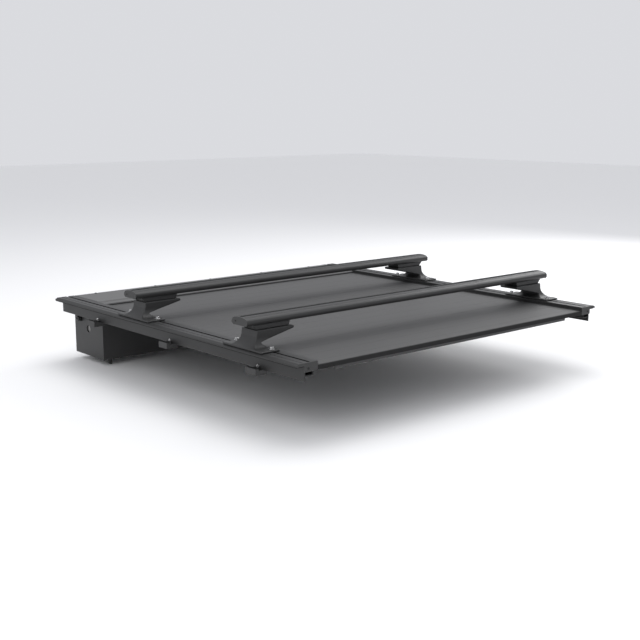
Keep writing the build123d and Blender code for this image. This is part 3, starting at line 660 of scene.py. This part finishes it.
# Rails
@dataclass
class Rails:
    """The two side rails with their seals, end caps and clamps."""

    wall: float = 3.0
    flange_edge: float = 7.0
    flange_slope: float = 10.0
    seal_height: float = 3.0
    slot_offset: float = 30.0
    slot_mouth: float = 9.0
    slot_width: float = 18.0
    slot_depth: float = 5.8
    slot_lip: float = 3.5
    channel_depth: float = 22.0
    channel_top: float = 0.8
    channel_floor: float = -12.8
    underside: float = -16.2
    web_outer: float = 700.0
    web_inner: float = 696.0
    gutter_offset: float = 14.0
    gutter_floor: float = -27.2
    gutter_lip: float = -18.7

    def section(self) -> list[Corner]:
        """Give the rail's outer outline, right side, T-slot and slat channel included."""
        low, high = limits("right_rail")
        inner, outer, top = low.x, high.x, high.z
        middle = inner + self.slot_offset
        mouth, half = self.slot_mouth / 2, self.slot_width / 2
        roof = top - self.slot_lip
        floor = roof - self.slot_depth
        groove = outer - self.flange_slope - 16.0
        return [
            (inner, top, 1.2),
            *t_slot(middle, mouth, half, (top, roof, floor), (0.6, 0.3, 0.6)),
            (groove - 1.0, top, 0.3), (groove - 1.0, top - 1.0, 0.2),
            (groove + 1.0, top - 1.0, 0.2), (groove + 1.0, top, 0.3),
            (outer - self.flange_slope, top, 3.0), (outer, self.flange_edge, 2.0),
            (outer, self.seal_height, 0.8), (self.web_outer, self.seal_height, 0.4),
            (self.web_outer, low.z, 1.4), (self.web_inner, low.z, 1.4),
            (self.web_inner, self.underside, 1.0), (inner, self.underside, 1.2),
            (inner, self.channel_floor, 0.6),
            (inner + self.channel_depth, self.channel_floor, 0.8),
            (inner + self.channel_depth, self.channel_top, 0.8), (inner, self.channel_top, 0.6),
        ]

    def hollows(self) -> list[list[Point]]:
        """Give the rail's closed chambers, right side."""
        low, high = limits("right_rail")
        inner, outer, top = low.x, high.x, high.z
        middle = inner + self.slot_offset
        half = self.slot_width / 2 + self.wall
        floor = top - self.slot_lip - self.slot_depth
        back = inner + self.channel_depth + self.wall
        chamber = (self.web_inner - 0.4, self.channel_top - 0.4)
        return [
            block((back, self.channel_floor + 0.4), chamber, 1.0),
            block((inner + self.wall, floor), (middle - half, top - self.wall), 0.8),
            block(
                (middle + half, self.seal_height + self.wall),
                (outer - self.flange_slope - self.wall - 2.0, top - self.wall - 0.2),
                0.8,
            ),
        ]

    def gutter(self) -> list[Corner]:
        """Give the drain gutter's section under the channel, right side."""
        lip = limits("right_rail")[0].x + self.gutter_offset
        return [
            (self.web_inner + 0.5, self.gutter_floor - self.wall, 0.0),
            (lip, self.gutter_floor - self.wall, 2.0), (lip, self.gutter_lip, 1.2),
            (lip + self.wall, self.gutter_lip, 1.2), (lip + self.wall, self.gutter_floor, 1.0),
            (self.web_inner + 0.5, self.gutter_floor, 0.0),
        ]

    def build_rail(self, side: Side) -> None:
        """Build one rail with its gutter.

        Args:
            side: Which rail.
        """
        name = f"{side.name.lower()}_rail"
        low, high = limits("right_rail")
        canister_rear = limits("canister_lid")[0].y

        shell = Shell()
        hollows = [on_side(side, hollow) for hollow in self.hollows()]
        shell.prism(Axis.Y, low.y, high.y, on_side(side, rounded(self.section())), hollows)
        shell.prism(Axis.Y, low.y, canister_rear, on_side(side, rounded(self.gutter())))
        dress(shell.piece(f"{name}_extrusion", 0.25), RAIL_ANODISE, stands_for=[name])

    def build_seals(self) -> None:
        """Build the wiper lips along the curtain and the foam on the bed rail."""
        low, high = limits("rail_wiper_seals")
        inner = limits("right_rail")[0].x
        lips, pads = Shell(), Shell()
        for side in Side:
            lip = [
                (inner, 2.0, 0.2), (inner, 7.0, 0.4), (inner - 1.8, 7.0, 0.8),
                (inner - 2.4, 3.6, 1.2), (inner - 6.0, 1.3, 0.4), (inner - 6.0, 0.4, 0.3),
                (inner - 4.6, 0.4, 1.0), (inner - 1.6, 2.0, 0.8),
            ]
            lips.prism(Axis.Y, low.y, high.y, on_side(side, rounded(lip)))
        foam_low, foam_high = limits("rail_base_seals")
        inner_edge = self.web_outer + 2.0
        for side in Side:
            pad = block((inner_edge, foam_low.z), (foam_high.x, foam_high.z), 1.0)
            pads.prism(Axis.Y, foam_low.y, foam_high.y, on_side(side, pad))
        dress(lips.piece("rail_wiper_lips", 0.1), RUBBER, stands_for=["rail_wiper_seals"])
        dress(pads.piece("rail_foam_strips", 0.3), FOAM, stands_for=["rail_base_seals"])

    def build_end_caps(self) -> None:
        """Build the moulded caps at the tailgate, each with a screw and its peg."""
        low, high = limits("rail_end_caps")
        rail_low, rail_high = limits("right_rail")
        inner, outer, top = rail_low.x, rail_high.x, rail_high.z
        caps, screws = Shell(), Shell()
        face = [
            (inner, top, 2.0), (outer - self.flange_slope, top, 3.0),
            (outer, self.flange_edge, 2.4), (outer, self.seal_height, 1.0),
            (self.web_outer, self.seal_height, 1.0), (self.web_outer, self.underside, 2.0),
            (inner, self.underside, 2.0),
        ]
        back = inner + self.channel_depth + self.wall
        peg = block((back + 0.6, self.channel_floor + 0.8), (self.web_inner - 0.6, 0.2), 1.0)
        for side in Side:
            caps.prism(Axis.Y, low.y, rail_low.y, on_side(side, rounded(face)))
            caps.prism(Axis.Y, rail_low.y, high.y, on_side(side, peg))
            height = (self.channel_floor + self.channel_top) / 2
            spot = (side.value * (back + self.web_inner) / 2, height)
            button_screw(screws, Axis.Y, spot, low.y + 0.2, -1.0, 4.2)
        made = caps.piece("rail_caps_moulded", 0.9, 3)
        dress(made, MOULDING, stands_for=["rail_end_caps"])
        dress(screws.piece("rail_cap_screws", 0.1), BLACK_STEEL)

    def build_clamps(self) -> None:
        """Dress the bed clamps and build their countersunk bolts and flanged nuts."""
        repaint("rail_clamps", CANISTER_COAT, 1.2)
        outer = limits("clamp_bolts")[1].x
        shell = Shell()
        for low, high in loose_parts("clamp_bolts"):
            side = 1 if low.x + high.x > 0 else -1
            inner = min(abs(low.x), abs(high.x))
            spot = centre_of(Axis.X, low, high)
            face = side * (outer + 0.15)
            shell.turned(Axis.X, spot, [
                (side * (inner + 1.0), 4.0), (side * (outer - 2.5), 4.0),
                (face - side * 0.1, 6.4), (face, 6.2), (face, 2.9, Shape.HEX),
                (face - side * 2.0, 2.9, Shape.HEX),
            ])
            shell.turned(Axis.X, spot, [
                (side * inner, 5.4, Shape.HEX), (side * (inner + 0.6), 6.3, Shape.HEX),
                (side * (inner + 4.6), 6.3, Shape.HEX), (side * (inner + 4.6), 6.9),
                (side * (inner + 6.0), 6.9),
            ])
        made = shell.piece("clamp_bolts_and_nuts", 0.2)
        dress(made, STAINLESS, stands_for=["clamp_bolts"])

    def build(self) -> None:
        """Build both rails and everything fixed along them."""
        for side in Side:
            self.build_rail(side)
        self.build_seals()
        self.build_end_caps()
        self.build_clamps()


def loose_parts(node: str) -> list[tuple[Vector, Vector]]:
    """Give the box of each separate solid in a CAD node.

    Args:
        node: The CAD node.

    Returns:
        Lowest and highest corner of each solid, in millimetres.
    """
    whole = bmesh.new()
    whole.from_mesh(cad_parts[node].data)
    bmesh.ops.remove_doubles(whole, verts=whole.verts[:], dist=SHARED_VERT)
    left = set(whole.verts)
    boxes = []
    while left:
        front = [left.pop()]
        points = []
        while front:
            vert = front.pop()
            points.append(vert.co / MM)
            for edge in vert.link_edges:
                other = edge.other_vert(vert)
                if other in left:
                    left.remove(other)
                    front.append(other)
        low = Vector([min(p[k] for p in points) for k in range(3)])
        high = Vector([max(p[k] for p in points) for k in range(3)])
        boxes.append((low, high))
    whole.free()
    return sorted(boxes, key=lambda pair: (round(pair[0].x), round(pair[0].y)))


# Curtain
@dataclass
class Curtain:
    """The interlocking slats, the leading bar and what is fixed to them."""

    count: int = 16
    thickness: float = 12.0
    skin: float = 1.5
    seam: float = 0.3
    web: float = 2.0
    bead_radius: float = 3.5
    bead_reach: float = 4.6
    bead_steps: int = 14
    neck: float = 3.0
    edge_radius: float = 0.7
    strap: float = 1.5
    strap_gap: float = 0.3

    def bead(self, front: float) -> list[Corner]:
        """Give the bead and its neck beyond a slat's cab edge."""
        middle = -self.thickness / 2
        half = degrees(asin(self.neck / 2 / self.bead_radius))
        centre = (front + self.bead_reach, middle)
        around = arc(centre, self.bead_radius, half - 180, 180 - half, self.bead_steps)
        face = front - self.seam / 2
        return [(face, middle - self.neck / 2, 0.0), *around, (face, middle + self.neck / 2, 0.0)]

    def socket(self, rear: float) -> list[Corner]:
        """Give the socket in a slat's tailgate edge."""
        middle = -self.thickness / 2
        radius = self.bead_radius + self.seam
        gap = self.neck / 2 + self.seam
        half = degrees(asin(gap / radius))
        centre = (rear + self.bead_reach, middle)
        around = arc(centre, radius, 180 - half, half - 180, self.bead_steps)
        face = rear + self.seam / 2
        return [(face, middle + gap, 0.0), *around, (face, middle - gap, 0.0)]

    def slat_section(self, rear: float, pitch: float, beaded: bool) -> list[Corner]:
        """Give one slat's outline.

        Args:
            rear: Where the slat starts.
            pitch: Slat spacing.
            beaded: Whether a bead follows its cab edge.

        Returns:
            The outline's corners.
        """
        front = rear + pitch
        tail, head = rear + self.seam / 2, front - self.seam / 2
        outline: list[Corner] = [(tail, -self.thickness, 0.5), (head, -self.thickness, 0.5)]
        if beaded:
            outline += self.bead(front)
        outline += [(head, 0.0, self.edge_radius), (tail, 0.0, self.edge_radius)]
        return outline + self.socket(rear)

    def build_slats(self) -> None:
        """Build every slat as a hollow extrusion."""
        pitch = limits("slat_02")[0].y - limits("slat_01")[0].y
        for number in range(1, self.count + 1):
            node = f"slat_{number:02d}"
            low, high = limits(node)
            rear = low.y - self.seam / 2
            chamber = rear + self.bead_reach + self.bead_radius + self.seam + self.web
            middle = (chamber + rear + pitch) / 2
            base, roof = self.skin - self.thickness, -self.skin
            hollows = [
                block((chamber, base), (middle - self.web / 2, roof), 0.8),
                block((middle + self.web / 2, base), (rear + pitch - self.web, roof), 0.8),
            ]
            outline = rounded(self.slat_section(rear, pitch, number < self.count), 3)
            shell = Shell().prism(Axis.X, low.x, high.x, outline, hollows)
            dress(shell.piece(f"{node}_extrusion", 0.0), CURTAIN_COAT, "curtain", [node])

    def build_leading_bar(self) -> None:
        """Build the stiff bar at the tailgate with its pull flange, and the seal behind it."""
        low, high = limits("leading_bar")
        rear = low.y
        front = high.y - self.bead_reach - self.bead_radius
        flange = rear + 10.0
        outline: list[Corner] = [
            (rear, -self.thickness, 0.8), (front - self.seam / 2, -self.thickness, 0.6),
            *self.bead(front),
            (front - self.seam / 2, 0.0, self.edge_radius), (rear, 0.0, 2.0),
        ]
        hollow = block((rear + 3.0, 2.0 - self.thickness), (front - 3.0, -2.0), 1.0)
        flange_half = limits("right_rail")[0].x - 82.0
        pull = rounded([
            (flange, -self.thickness + 0.2, 0.0), (flange, low.z, 1.4),
            (flange + 3.0, low.z, 1.4), (flange + 3.0, -self.thickness + 0.2, 0.0),
        ])
        shell = Shell().prism(Axis.X, low.x, high.x, rounded(outline), [hollow])
        shell.prism(Axis.X, -flange_half, flange_half, pull)
        made = shell.piece("leading_bar_extrusion", 0.0)
        dress(made, CURTAIN_COAT, "curtain", ["leading_bar"])
        seal_low, seal_high = limits("tail_seal")
        lip = rounded([
            (rear, -self.thickness, 0.3), (rear, -1.0, 0.6), (rear - 3.0, -1.0, 1.4),
            (seal_low.y, -4.2, 2.0), (seal_low.y, seal_low.z, 1.2),
            (seal_low.y + 2.6, seal_low.z, 1.0),
        ])
        strip = Shell().prism(Axis.X, seal_low.x, seal_high.x, lip)
        dress(strip.piece("tail_seal_lip", 0.15), RUBBER, "curtain", ["tail_seal"])

    def build_straps(self) -> None:
        """Build the webbing from the last slat to the roll tube, in one fixed shape on its own
        mesh.
        """
        tube_low, tube_high = limits("roll_tube")
        centre = Vector(centre_of(Axis.X, tube_low, tube_high))
        radius = (tube_high.z - tube_low.z) / 2
        roller = centre_of(Axis.X, *limits("guide_roller"))[0]
        half = self.strap / 2
        start = limits("leader_straps")[0].y
        turn = Vector((roller + 15.0, -self.thickness / 2))
        drop = centre - turn
        reach = radius + self.strap_gap + half
        run = (drop.length**2 - reach**2) ** 0.5
        lean = atan2(drop.y, drop.x) + asin(reach / drop.length)
        along = Vector((cos(lean), sin(lean)))
        side = Vector((-along.y, along.x)) * half
        end = turn + along * run
        corner = (Vector((0, half)) + side) / (1 + along.x)
        outline = rounded([
            (start, turn.y + half, 0.2), (start, turn.y - half, 0.2),
            (turn.x - corner.x, turn.y - corner.y, 5.0), (end.x - side.x, end.y - side.y, 0.2),
            (end.x + side.x, end.y + side.y, 0.2), (turn.x + corner.x, turn.y + corner.y, 6.5),
        ], 8)
        shell = Shell()
        for low, high in loose_parts("leader_straps"):
            shell.prism(Axis.X, low.x, high.x, outline)
        made = shell.piece("leader_strap_webbing", 0.0)
        dress(made, WEBBING, "curtain", ["leader_straps"])
        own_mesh(made)

    def build(self) -> None:
        """Build the whole curtain."""
        self.build_slats()
        self.build_leading_bar()
        self.build_straps()
        repaint("slat_end_guides", NYLON, 0.5)


# Canister and drive
@dataclass
class Canister:
    """The box behind the cab that holds the rolled curtain, and its lid."""

    lid_wall: float = 3.0
    step: float = 4.5
    step_depth: float = 34.0
    nose: float = 8.0
    screw_head: float = 4.8
    tuft_pitch: float = 3.0
    tuft_width: float = 2.3
    rib_heights: tuple[float, ...] = (-62.0, -90.0, -118.0)
    rib_near: float = 30.0
    rib_far: float = 390.0
    plate: float = 4.0
    gland_bore: float = 4.2

    def build_lid(self) -> None:
        """Build the stepped lid with its rounded nose."""
        low, high = limits("canister_lid")
        rear, top = low.y, high.z
        shelf = top - self.step
        under = top - self.lid_wall
        outline = rounded([
            (high.y, under, 0.4), (high.y, top, 2.0),
            (rear + self.step_depth + self.step, top, 2.4),
            (rear + self.step_depth, shelf, 2.4), (rear, shelf, self.nose), (rear, low.z, 1.2),
            (rear + self.lid_wall, low.z, 1.2),
            (rear + self.lid_wall, shelf - self.lid_wall, 4.0),
            (rear + self.step_depth + 1.2, shelf - self.lid_wall, 1.0),
            (rear + self.step_depth + self.step + 1.2, under, 1.0),
        ], 6)
        shell = Shell().prism(Axis.X, low.x, high.x, outline)
        made = shell.piece("canister_lid_extrusion", 0.4)
        dress(made, LID_COAT, stands_for=["canister_lid"])

    def build_brush(self) -> None:
        """Build the brush strip: a backing and a close row of bristle tufts."""
        low, high = limits("lid_brush_seal")
        shell = Shell()
        stem = (low.z + high.z) / 2 + 0.4
        shell.prism(Axis.X, low.x, high.x, block((low.y, stem), (high.y, high.z), 0.2))
        tip = block((low.y + 0.5, low.z), (high.y - 0.5, stem + 0.1))
        for k in range(int((high.x - low.x) / self.tuft_pitch)):
            start = low.x + k * self.tuft_pitch
            shell.prism(Axis.X, start, start + self.tuft_width, tip)
        made = shell.piece("lid_brush_tufts", 0.0)
        dress(made, BRISTLE, stands_for=["lid_brush_seal"])

    def build_screws(self) -> None:
        """Build the lid's button-head screws and the screws under the rails."""
        top = limits("canister_lid")[1].z
        shell = Shell()
        for low, high in loose_parts("canister_screws"):
            spot = centre_of(Axis.Z, low, high)
            if high.z > top:
                shell.turned(Axis.Z, spot, [(low.z, 2.5), (top + 0.2, 2.5)])
                button_screw(shell, Axis.Z, spot, top, 1.0, self.screw_head)
            else:
                button_screw(shell, Axis.Z, spot, high.z, -1.0, self.screw_head)
        made = shell.piece("canister_button_screws", 0.1)
        dress(made, BLACK_STEEL, stands_for=["canister_screws"])

    def build_ribs(self) -> None:
        """Build the pressed ribs that stiffen the cab-side panel."""
        face = limits("canister_tray")[1].y
        shell = Shell()
        for height in self.rib_heights:
            rib = rounded([
                (face - 0.2, height - 5.0, 0.0), (face + 1.6, height - 3.0, 1.2),
                (face + 1.6, height + 3.0, 1.2), (face - 0.2, height + 5.0, 0.0),
            ])
            for start, end in ((-self.rib_far, -self.rib_near), (self.rib_near, self.rib_far)):
                shell.prism(Axis.X, start, end, rib)
        dress(shell.piece("canister_pressed_ribs", 0.6), CANISTER_COAT)

    def build_spouts(self) -> None:
        """Build the drain spouts with hose barbs."""
        shell = Shell()
        for low, high in loose_parts("drain_spouts"):
            spot = centre_of(Axis.Z, low, high)
            top, collar = high.z, high.z - 6.0
            rings = [(top, 15.0), (top - 2.0, 15.0), (top - 2.0, 10.0), (collar, 10.0)]
            rings.append((collar, 7.4))
            barb = (collar - low.z) / 3
            for k in range(3):
                start = collar - k * barb
                rings += [(start - 1.0, 8.0), (start - barb + 0.6, 7.3)]
            rings += [(low.z, 7.0), (low.z, 5.8), (top, 5.8)]
            shell.turned(Axis.Z, spot, rings, bored=True)
        made = shell.piece("drain_hose_spouts", 0.2)
        dress(made, MOULDING, stands_for=["drain_spouts"])

    def build_gland(self) -> None:
        """Build the cable gland: hexagon body, fluted nut and the barrel through the plate."""
        low, high = limits("cable_gland")
        spot = centre_of(Axis.X, low, high)
        plate = -limits("canister_tray")[1].x - self.plate
        bore = self.gland_bore
        shell = Shell()
        shell.turned(Axis.X, spot, [
            (plate, 13.6, Shape.HEX), (plate - 7.6, 13.6, Shape.HEX),
            (plate - 8.0, 11.0, Shape.FLUTED), (plate - 14.0, 10.6, Shape.FLUTED),
            (low.x, 7.5), (low.x, bore), (plate - 6.0, bore), (plate, bore),
        ], bored=True)
        shell.turned(Axis.X, spot, [
            (plate, 10.0), (high.x, 10.0), (high.x, bore), (plate, bore),
        ], bored=True)
        dress(shell.piece("cable_gland_body", 0.2), NYLON, stands_for=["cable_gland"])

    def build(self) -> None:
        """Build and dress the canister."""
        self.build_lid()
        self.build_brush()
        self.build_screws()
        self.build_ribs()
        self.build_spouts()
        self.build_gland()
        repaint("canister_tray", CANISTER_COAT, 0.6)
        for side in Side:
            repaint(f"{side.name.lower()}_end_plate", CANISTER_COAT, 0.8)
        repaint("bulkhead_seal", FOAM, 0.6)


@dataclass
class Drive:
    """The roll tube, its motor and bearing, and the guide roller."""

    tube_wall: float = 2.0
    tube_ease: float = 0.6
    groove_inset: float = 40.0
    groove_depth: float = 0.8

    def build_tube(self) -> None:
        """Build the roll tube with a shallow groove round it near each end."""
        low, high = limits("roll_tube")
        spot = centre_of(Axis.X, low, high)
        outer = (high.z - low.z) / 2
        inner = outer - self.tube_wall
        ease, groove = self.tube_ease, outer - self.groove_depth
        rings = [(low.x, outer - ease), (low.x + ease, outer)]
        for centre in (low.x + self.groove_inset, high.x - self.groove_inset):
            rings += [(centre - 3.0, outer), (centre - 2.0, groove)]
            rings += [(centre + 2.0, groove), (centre + 3.0, outer)]
        rings += [(high.x - ease, outer), (high.x, outer - ease), (high.x, inner), (low.x, inner)]
        shell = Shell()
        shell.turned(Axis.X, spot, rings, 64, bored=True)
        made = shell.piece("roll_tube_drawn", 0.0)
        dress(made, MILL, "roll_tube", ["roll_tube"])

    def build(self) -> None:
        """Build the tube and dress the rest of the drive."""
        self.build_tube()
        repaint("tubular_motor", MOTOR_PAINT, 0.6)
        repaint("motor_bracket", ZINC, 0.6)
        for node in ("motor_crown", "motor_drive_wheel", "tube_end_plug", "end_bearing"):
            repaint(node, NYLON, 0.4)
        repaint("guide_roller", MILL, 0.3)
        repaint("guide_roller_axle", STAINLESS, 0.4)


# Cross bars
@dataclass
class CrossBar:
    """One aero cross bar with its strip, caps, cradles, feet and bolts."""

    name: str
    slot_width: float = 14.0
    slot_channel: float = 24.0
    slot_mouth: float = 9.0
    slot_inner: float = 18.0
    soft_bend: float = 40.0
    grooves: tuple[float, ...] = (-25.0, -18.0, 18.0, 24.0)
    crown_drop: float = 5.9
    crown_reach: float = 36.0
    strip_ribs: int = 5
    washer: float = 1.6
    foot_base: float = 7.0

    @property
    def body(self) -> str:
        """Body that the bar moves with."""
        return f"{self.name}_crossbar"

    def middle(self) -> float:
        """Give the bar's place along the cover."""
        return centre_of(Axis.X, *limits(self.body))[0]

    def top_at(self, across: float) -> float:
        """Give the crown's height at a distance from the bar's middle line."""
        drop = self.crown_drop * (across / self.crown_reach) ** 2
        return limits(f"{self.name}_crossbar_end_caps")[1].z - drop

    def section(self, slotted: bool) -> list[Corner]:
        """Give the bar's outline, with or without its slots.

        Args:
            slotted: Whether the slots and grooves are cut.

        Returns:
            The outline's corners.
        """
        low, high = limits(f"{self.name}_crossbar_end_caps")
        y, base, top = self.middle(), low.z, high.z
        half, tall = (high.y - low.y) / 2, high.z - low.z
        bend = self.soft_bend
        outline: list[Corner] = [(y - half + 5.0, base, bend)]
        if slotted:
            mouth, inner = self.slot_mouth / 2, self.slot_inner / 2
            levels = (base, base + 3.0, base + 9.0)
            outline += t_slot(y, mouth, inner, levels, (0.5, 0.2, 0.6))
        outline += [(y + half - 9.0, base, bend), (y + half - 2.6, base + 0.12 * tall, bend)]
        outline += [(y + half, base + 0.4 * tall, bend), (y + half - 3.4, base + 0.64 * tall, bend)]
        crown = [29.0, 24.0, 18.0, 12.0, 7.0, 0.0, -7.0, -12.0, -18.0, -25.0, -32.0]
        for across in crown:
            height = self.top_at(across)
            if slotted and across in self.grooves:
                outline += [(y + across + 0.9, height, 0.2), (y + across + 0.7, height - 1.4, 0.2)]
                outline += [(y + across - 0.7, height - 1.4, 0.2), (y + across - 0.9, height, 0.2)]
            elif slotted and across == 7.0:
                outline += self.top_slot(y, top)
            elif slotted and across in (0.0, -7.0):
                continue
            else:
                outline.append((y + across, height, bend))
        outline.append((y - half + 1.2, base + 0.62 * tall, bend))
        outline.append((y - half, base + 0.42 * tall, bend))
        return outline + [(y - half + 1.4, base + 0.16 * tall, bend)]

    def top_slot(self, y: float, top: float) -> list[Corner]:
        """Give the corners of the slot for the rubber strip."""
        width, channel = self.slot_width / 2, self.slot_channel / 2
        levels = (self.top_at(width), top - 4.0, top - 10.0)
        return t_slot(y, -width, -channel, levels, (0.4, 0.2, 0.5))

    def build_bar(self) -> None:
        """Build the hollow bar itself."""
        low, high = limits(self.body)
        y, base = self.middle(), low.z
        hollows = [
            block((y + 15.0, base + 3.0), (y + 29.0, base + 11.0), 1.5),
            block((y - 31.0, base + 3.0), (y - 15.0, base + 11.0), 1.5),
        ]
        shell = Shell().prism(Axis.X, low.x, high.x, rounded(self.section(True), 5), hollows)
        made = shell.piece(f"{self.name}_bar_extrusion", 0.0)
        dress(made, BAR_ANODISE, self.body, [self.body])

    def build_strip(self) -> None:
        """Build the ribbed rubber strip along the bar's crown."""
        low, high = limits(f"{self.name}_crossbar_strip")
        y, top = self.middle(), high.z
        width, channel = self.slot_width / 2 - 0.3, self.slot_channel / 2 - 0.4
        outline: list[Corner] = [
            (y - channel, low.z, 0.4), (y + channel, low.z, 0.4),
            (y + channel, low.z + 2.6, 0.3), (y + width, low.z + 2.6, 0.2),
        ]
        pitch = 2 * width / self.strip_ribs
        for k in range(self.strip_ribs):
            edge = y + width - k * pitch
            outline += [(edge, top - 0.9, 0.15), (edge - 0.25 * pitch, top, 0.4)]
            outline += [(edge - 0.75 * pitch, top, 0.4)]
        outline += [(y - width, top - 0.9, 0.15), (y - width, low.z + 2.6, 0.2)]
        outline += [(y - channel, low.z + 2.6, 0.3)]
        shell = Shell().prism(Axis.X, low.x, high.x, rounded(outline, 3))
        made = shell.piece(f"{self.name}_strip_ribbed", 0.0)
        dress(made, RUBBER, self.body, [f"{self.name}_crossbar_strip"])

    def build_caps(self) -> None:
        """Build the domed caps on the bar's ends, each with a screw."""
        low, high = limits(f"{self.name}_crossbar_end_caps")
        outer, inner = high.x, limits(self.body)[1].x
        y = self.middle()
        outline = rounded(self.section(False), 5)
        caps, screws = Shell(), Shell()
        for side in Side:
            caps.prism(Axis.X, side.value * inner, side.value * outer, outline)
            spot = (y + 20.0, (low.z + high.z) / 2 - 2.0)
            button_screw(screws, Axis.X, spot, side.value * (outer - 0.1), side.value, 3.4)
        made = caps.piece(f"{self.name}_bar_caps_domed", 2.2, 4)
        dress(made, MOULDING, self.body, [f"{self.name}_crossbar_end_caps"])
        dress(screws.piece(f"{self.name}_bar_cap_screws", 0.1), BLACK_STEEL, self.body)

    def build_feet(self) -> None:
        """Build the cast feet."""
        for side in Side:
            node = f"{self.name}_{side.name.lower()}_foot"
            made = casting(node, f"{node}_casting", 1.5, 8, 0.35)
            dress(made, FOOT_COAT, self.body, [node])

    def build_cradles(self) -> None:
        """Build the seats between the feet and the bar."""
        node = f"{self.name}_crossbar_cradles"
        made = casting(node, f"{self.name}_bar_cradles", 1.3, 3, 0.4)
        dress(made, MOULDING, self.body, [node])

    def build_bolts(self) -> None:
        """Build the cap bolts, washers and T-nuts that hold the feet."""
        shell = Shell()
        base = limits(f"{self.name}_right_foot")[0].z + self.foot_base
        for low, high in loose_parts(f"{self.name}_foot_fixings"):
            spot = centre_of(Axis.Z, low, high)
            seat = base + self.washer
            shell.turned(Axis.Z, spot, [
                (base - 0.1, 9.0), (seat - 0.3, 9.0),
                (seat, 8.7), (seat, 4.0), (base - 0.1, 4.0),
            ], bored=True)
            shell.turned(Axis.Z, spot, [
                (low.z + 0.4, 4.0), (seat, 4.0), (seat, 6.5),
                (high.z - 0.9, 6.5), (high.z, 5.7), (high.z, 3.3, Shape.HEX),
                (high.z - 3.0, 3.3, Shape.HEX),
            ])
            nut = block((low.x, spot[1] - 7.8), (high.x, spot[1] + 7.8), 1.0)
            shell.prism(Axis.Z, low.z, low.z + 5.0, nut)
        made = shell.piece(f"{self.name}_foot_cap_bolts", 0.2)
        dress(made, STAINLESS, self.body, [f"{self.name}_foot_fixings"])

    def build(self) -> None:
        """Build the whole cross bar."""
        self.build_bar()
        self.build_strip()
        self.build_caps()
        self.build_feet()
        self.build_cradles()
        self.build_bolts()


# Studio
@dataclass
class Studio:
    """Floor, lights and camera."""

    camera_at: tuple[float, float, float] = (-2.646, -3.791, 0.737)
    lens: float = 60.0
    sensor: float = 36.0
    floor_reach: float = 14.0
    floor_gap: float = 0.002

    def build_floor(self) -> None:
        """Lay the pale floor just under the lowest point."""
        level = CAD_BOX[0].z - self.floor_gap
        signs = ((-1, -1), (1, -1), (1, 1), (-1, 1))
        corners = [(a * self.floor_reach, b * self.floor_reach, level) for a, b in signs]
        data = bpy.data.meshes.new("floor")
        data.from_pydata(corners, [], [(0, 1, 2, 3)])
        floor = bpy.data.objects.new("floor", data)
        bpy.context.scene.collection.objects.link(floor)
        paint = bpy.data.materials.new("pale_floor")
        paint.use_nodes = True
        shader = paint.node_tree.nodes["Principled BSDF"]
        shader.inputs["Base Color"].default_value = (0.93, 0.93, 0.93, 1.0)
        shader.inputs["Roughness"].default_value = 0.7
        data.materials.append(paint)

    def add_light(
        self, name: str, at: Corner, size: float, power: float
    ) -> None:
        """Hang a soft square light that points at the cover.

        Args:
            name: Name of the light.
            at: Where it hangs.
            size: Its side in metres.
            power: Its strength in watts.
        """
        lamp = bpy.data.lights.new(name, "AREA")
        lamp.size = size
        lamp.energy = power
        made = bpy.data.objects.new(name, lamp)
        made.location = at
        aim = self.target() - Vector(at)
        made.rotation_euler = aim.to_track_quat("-Z", "Y").to_euler()
        bpy.context.scene.collection.objects.link(made)

    def target(self) -> Vector:
        """Give the middle of the object."""
        return (CAD_BOX[0] + CAD_BOX[1]) / 2

    def build_camera(self) -> None:
        """Set up the camera."""
        eye = bpy.data.cameras.new("camera")
        eye.lens = self.lens
        eye.sensor_width = self.sensor
        made = bpy.data.objects.new("camera", eye)
        made.location = self.camera_at
        aim = self.target() - Vector(self.camera_at)
        made.rotation_euler = aim.to_track_quat("-Z", "Y").to_euler()
        bpy.context.scene.collection.objects.link(made)
        bpy.context.scene.camera = made

    def build(self) -> None:
        """Build the whole studio."""
        self.build_floor()
        self.add_light("overhead", (0.4, -0.4, 3.6), 3.2, 62.0)
        self.add_light("right_side", (3.9, -0.3, 1.8), 2.4, 56.0)
        self.add_light("tailgate_side", (-3.2, -2.6, 2.2), 2.4, 36.0)
        world = bpy.data.worlds.new("studio_air")
        world.use_nodes = True
        air = world.node_tree.nodes["Background"]
        air.inputs["Color"].default_value = (0.95, 0.96, 1.0, 1.0)
        air.inputs["Strength"].default_value = 0.74
        bpy.context.scene.world = world
        bpy.context.scene.view_settings.view_transform = "Standard"
        self.build_camera()


def main() -> None:
    """Build every sub-assembly and the studio around it."""
    logging.basicConfig(level=logging.INFO, format="%(name)s: %(message)s")
    Rails().build()
    Curtain().build()
    Canister().build()
    Drive().build()
    for name in ("front", "rear"):
        CrossBar(name).build()
    Studio().build()


if __name__ == "__main__":
    main()
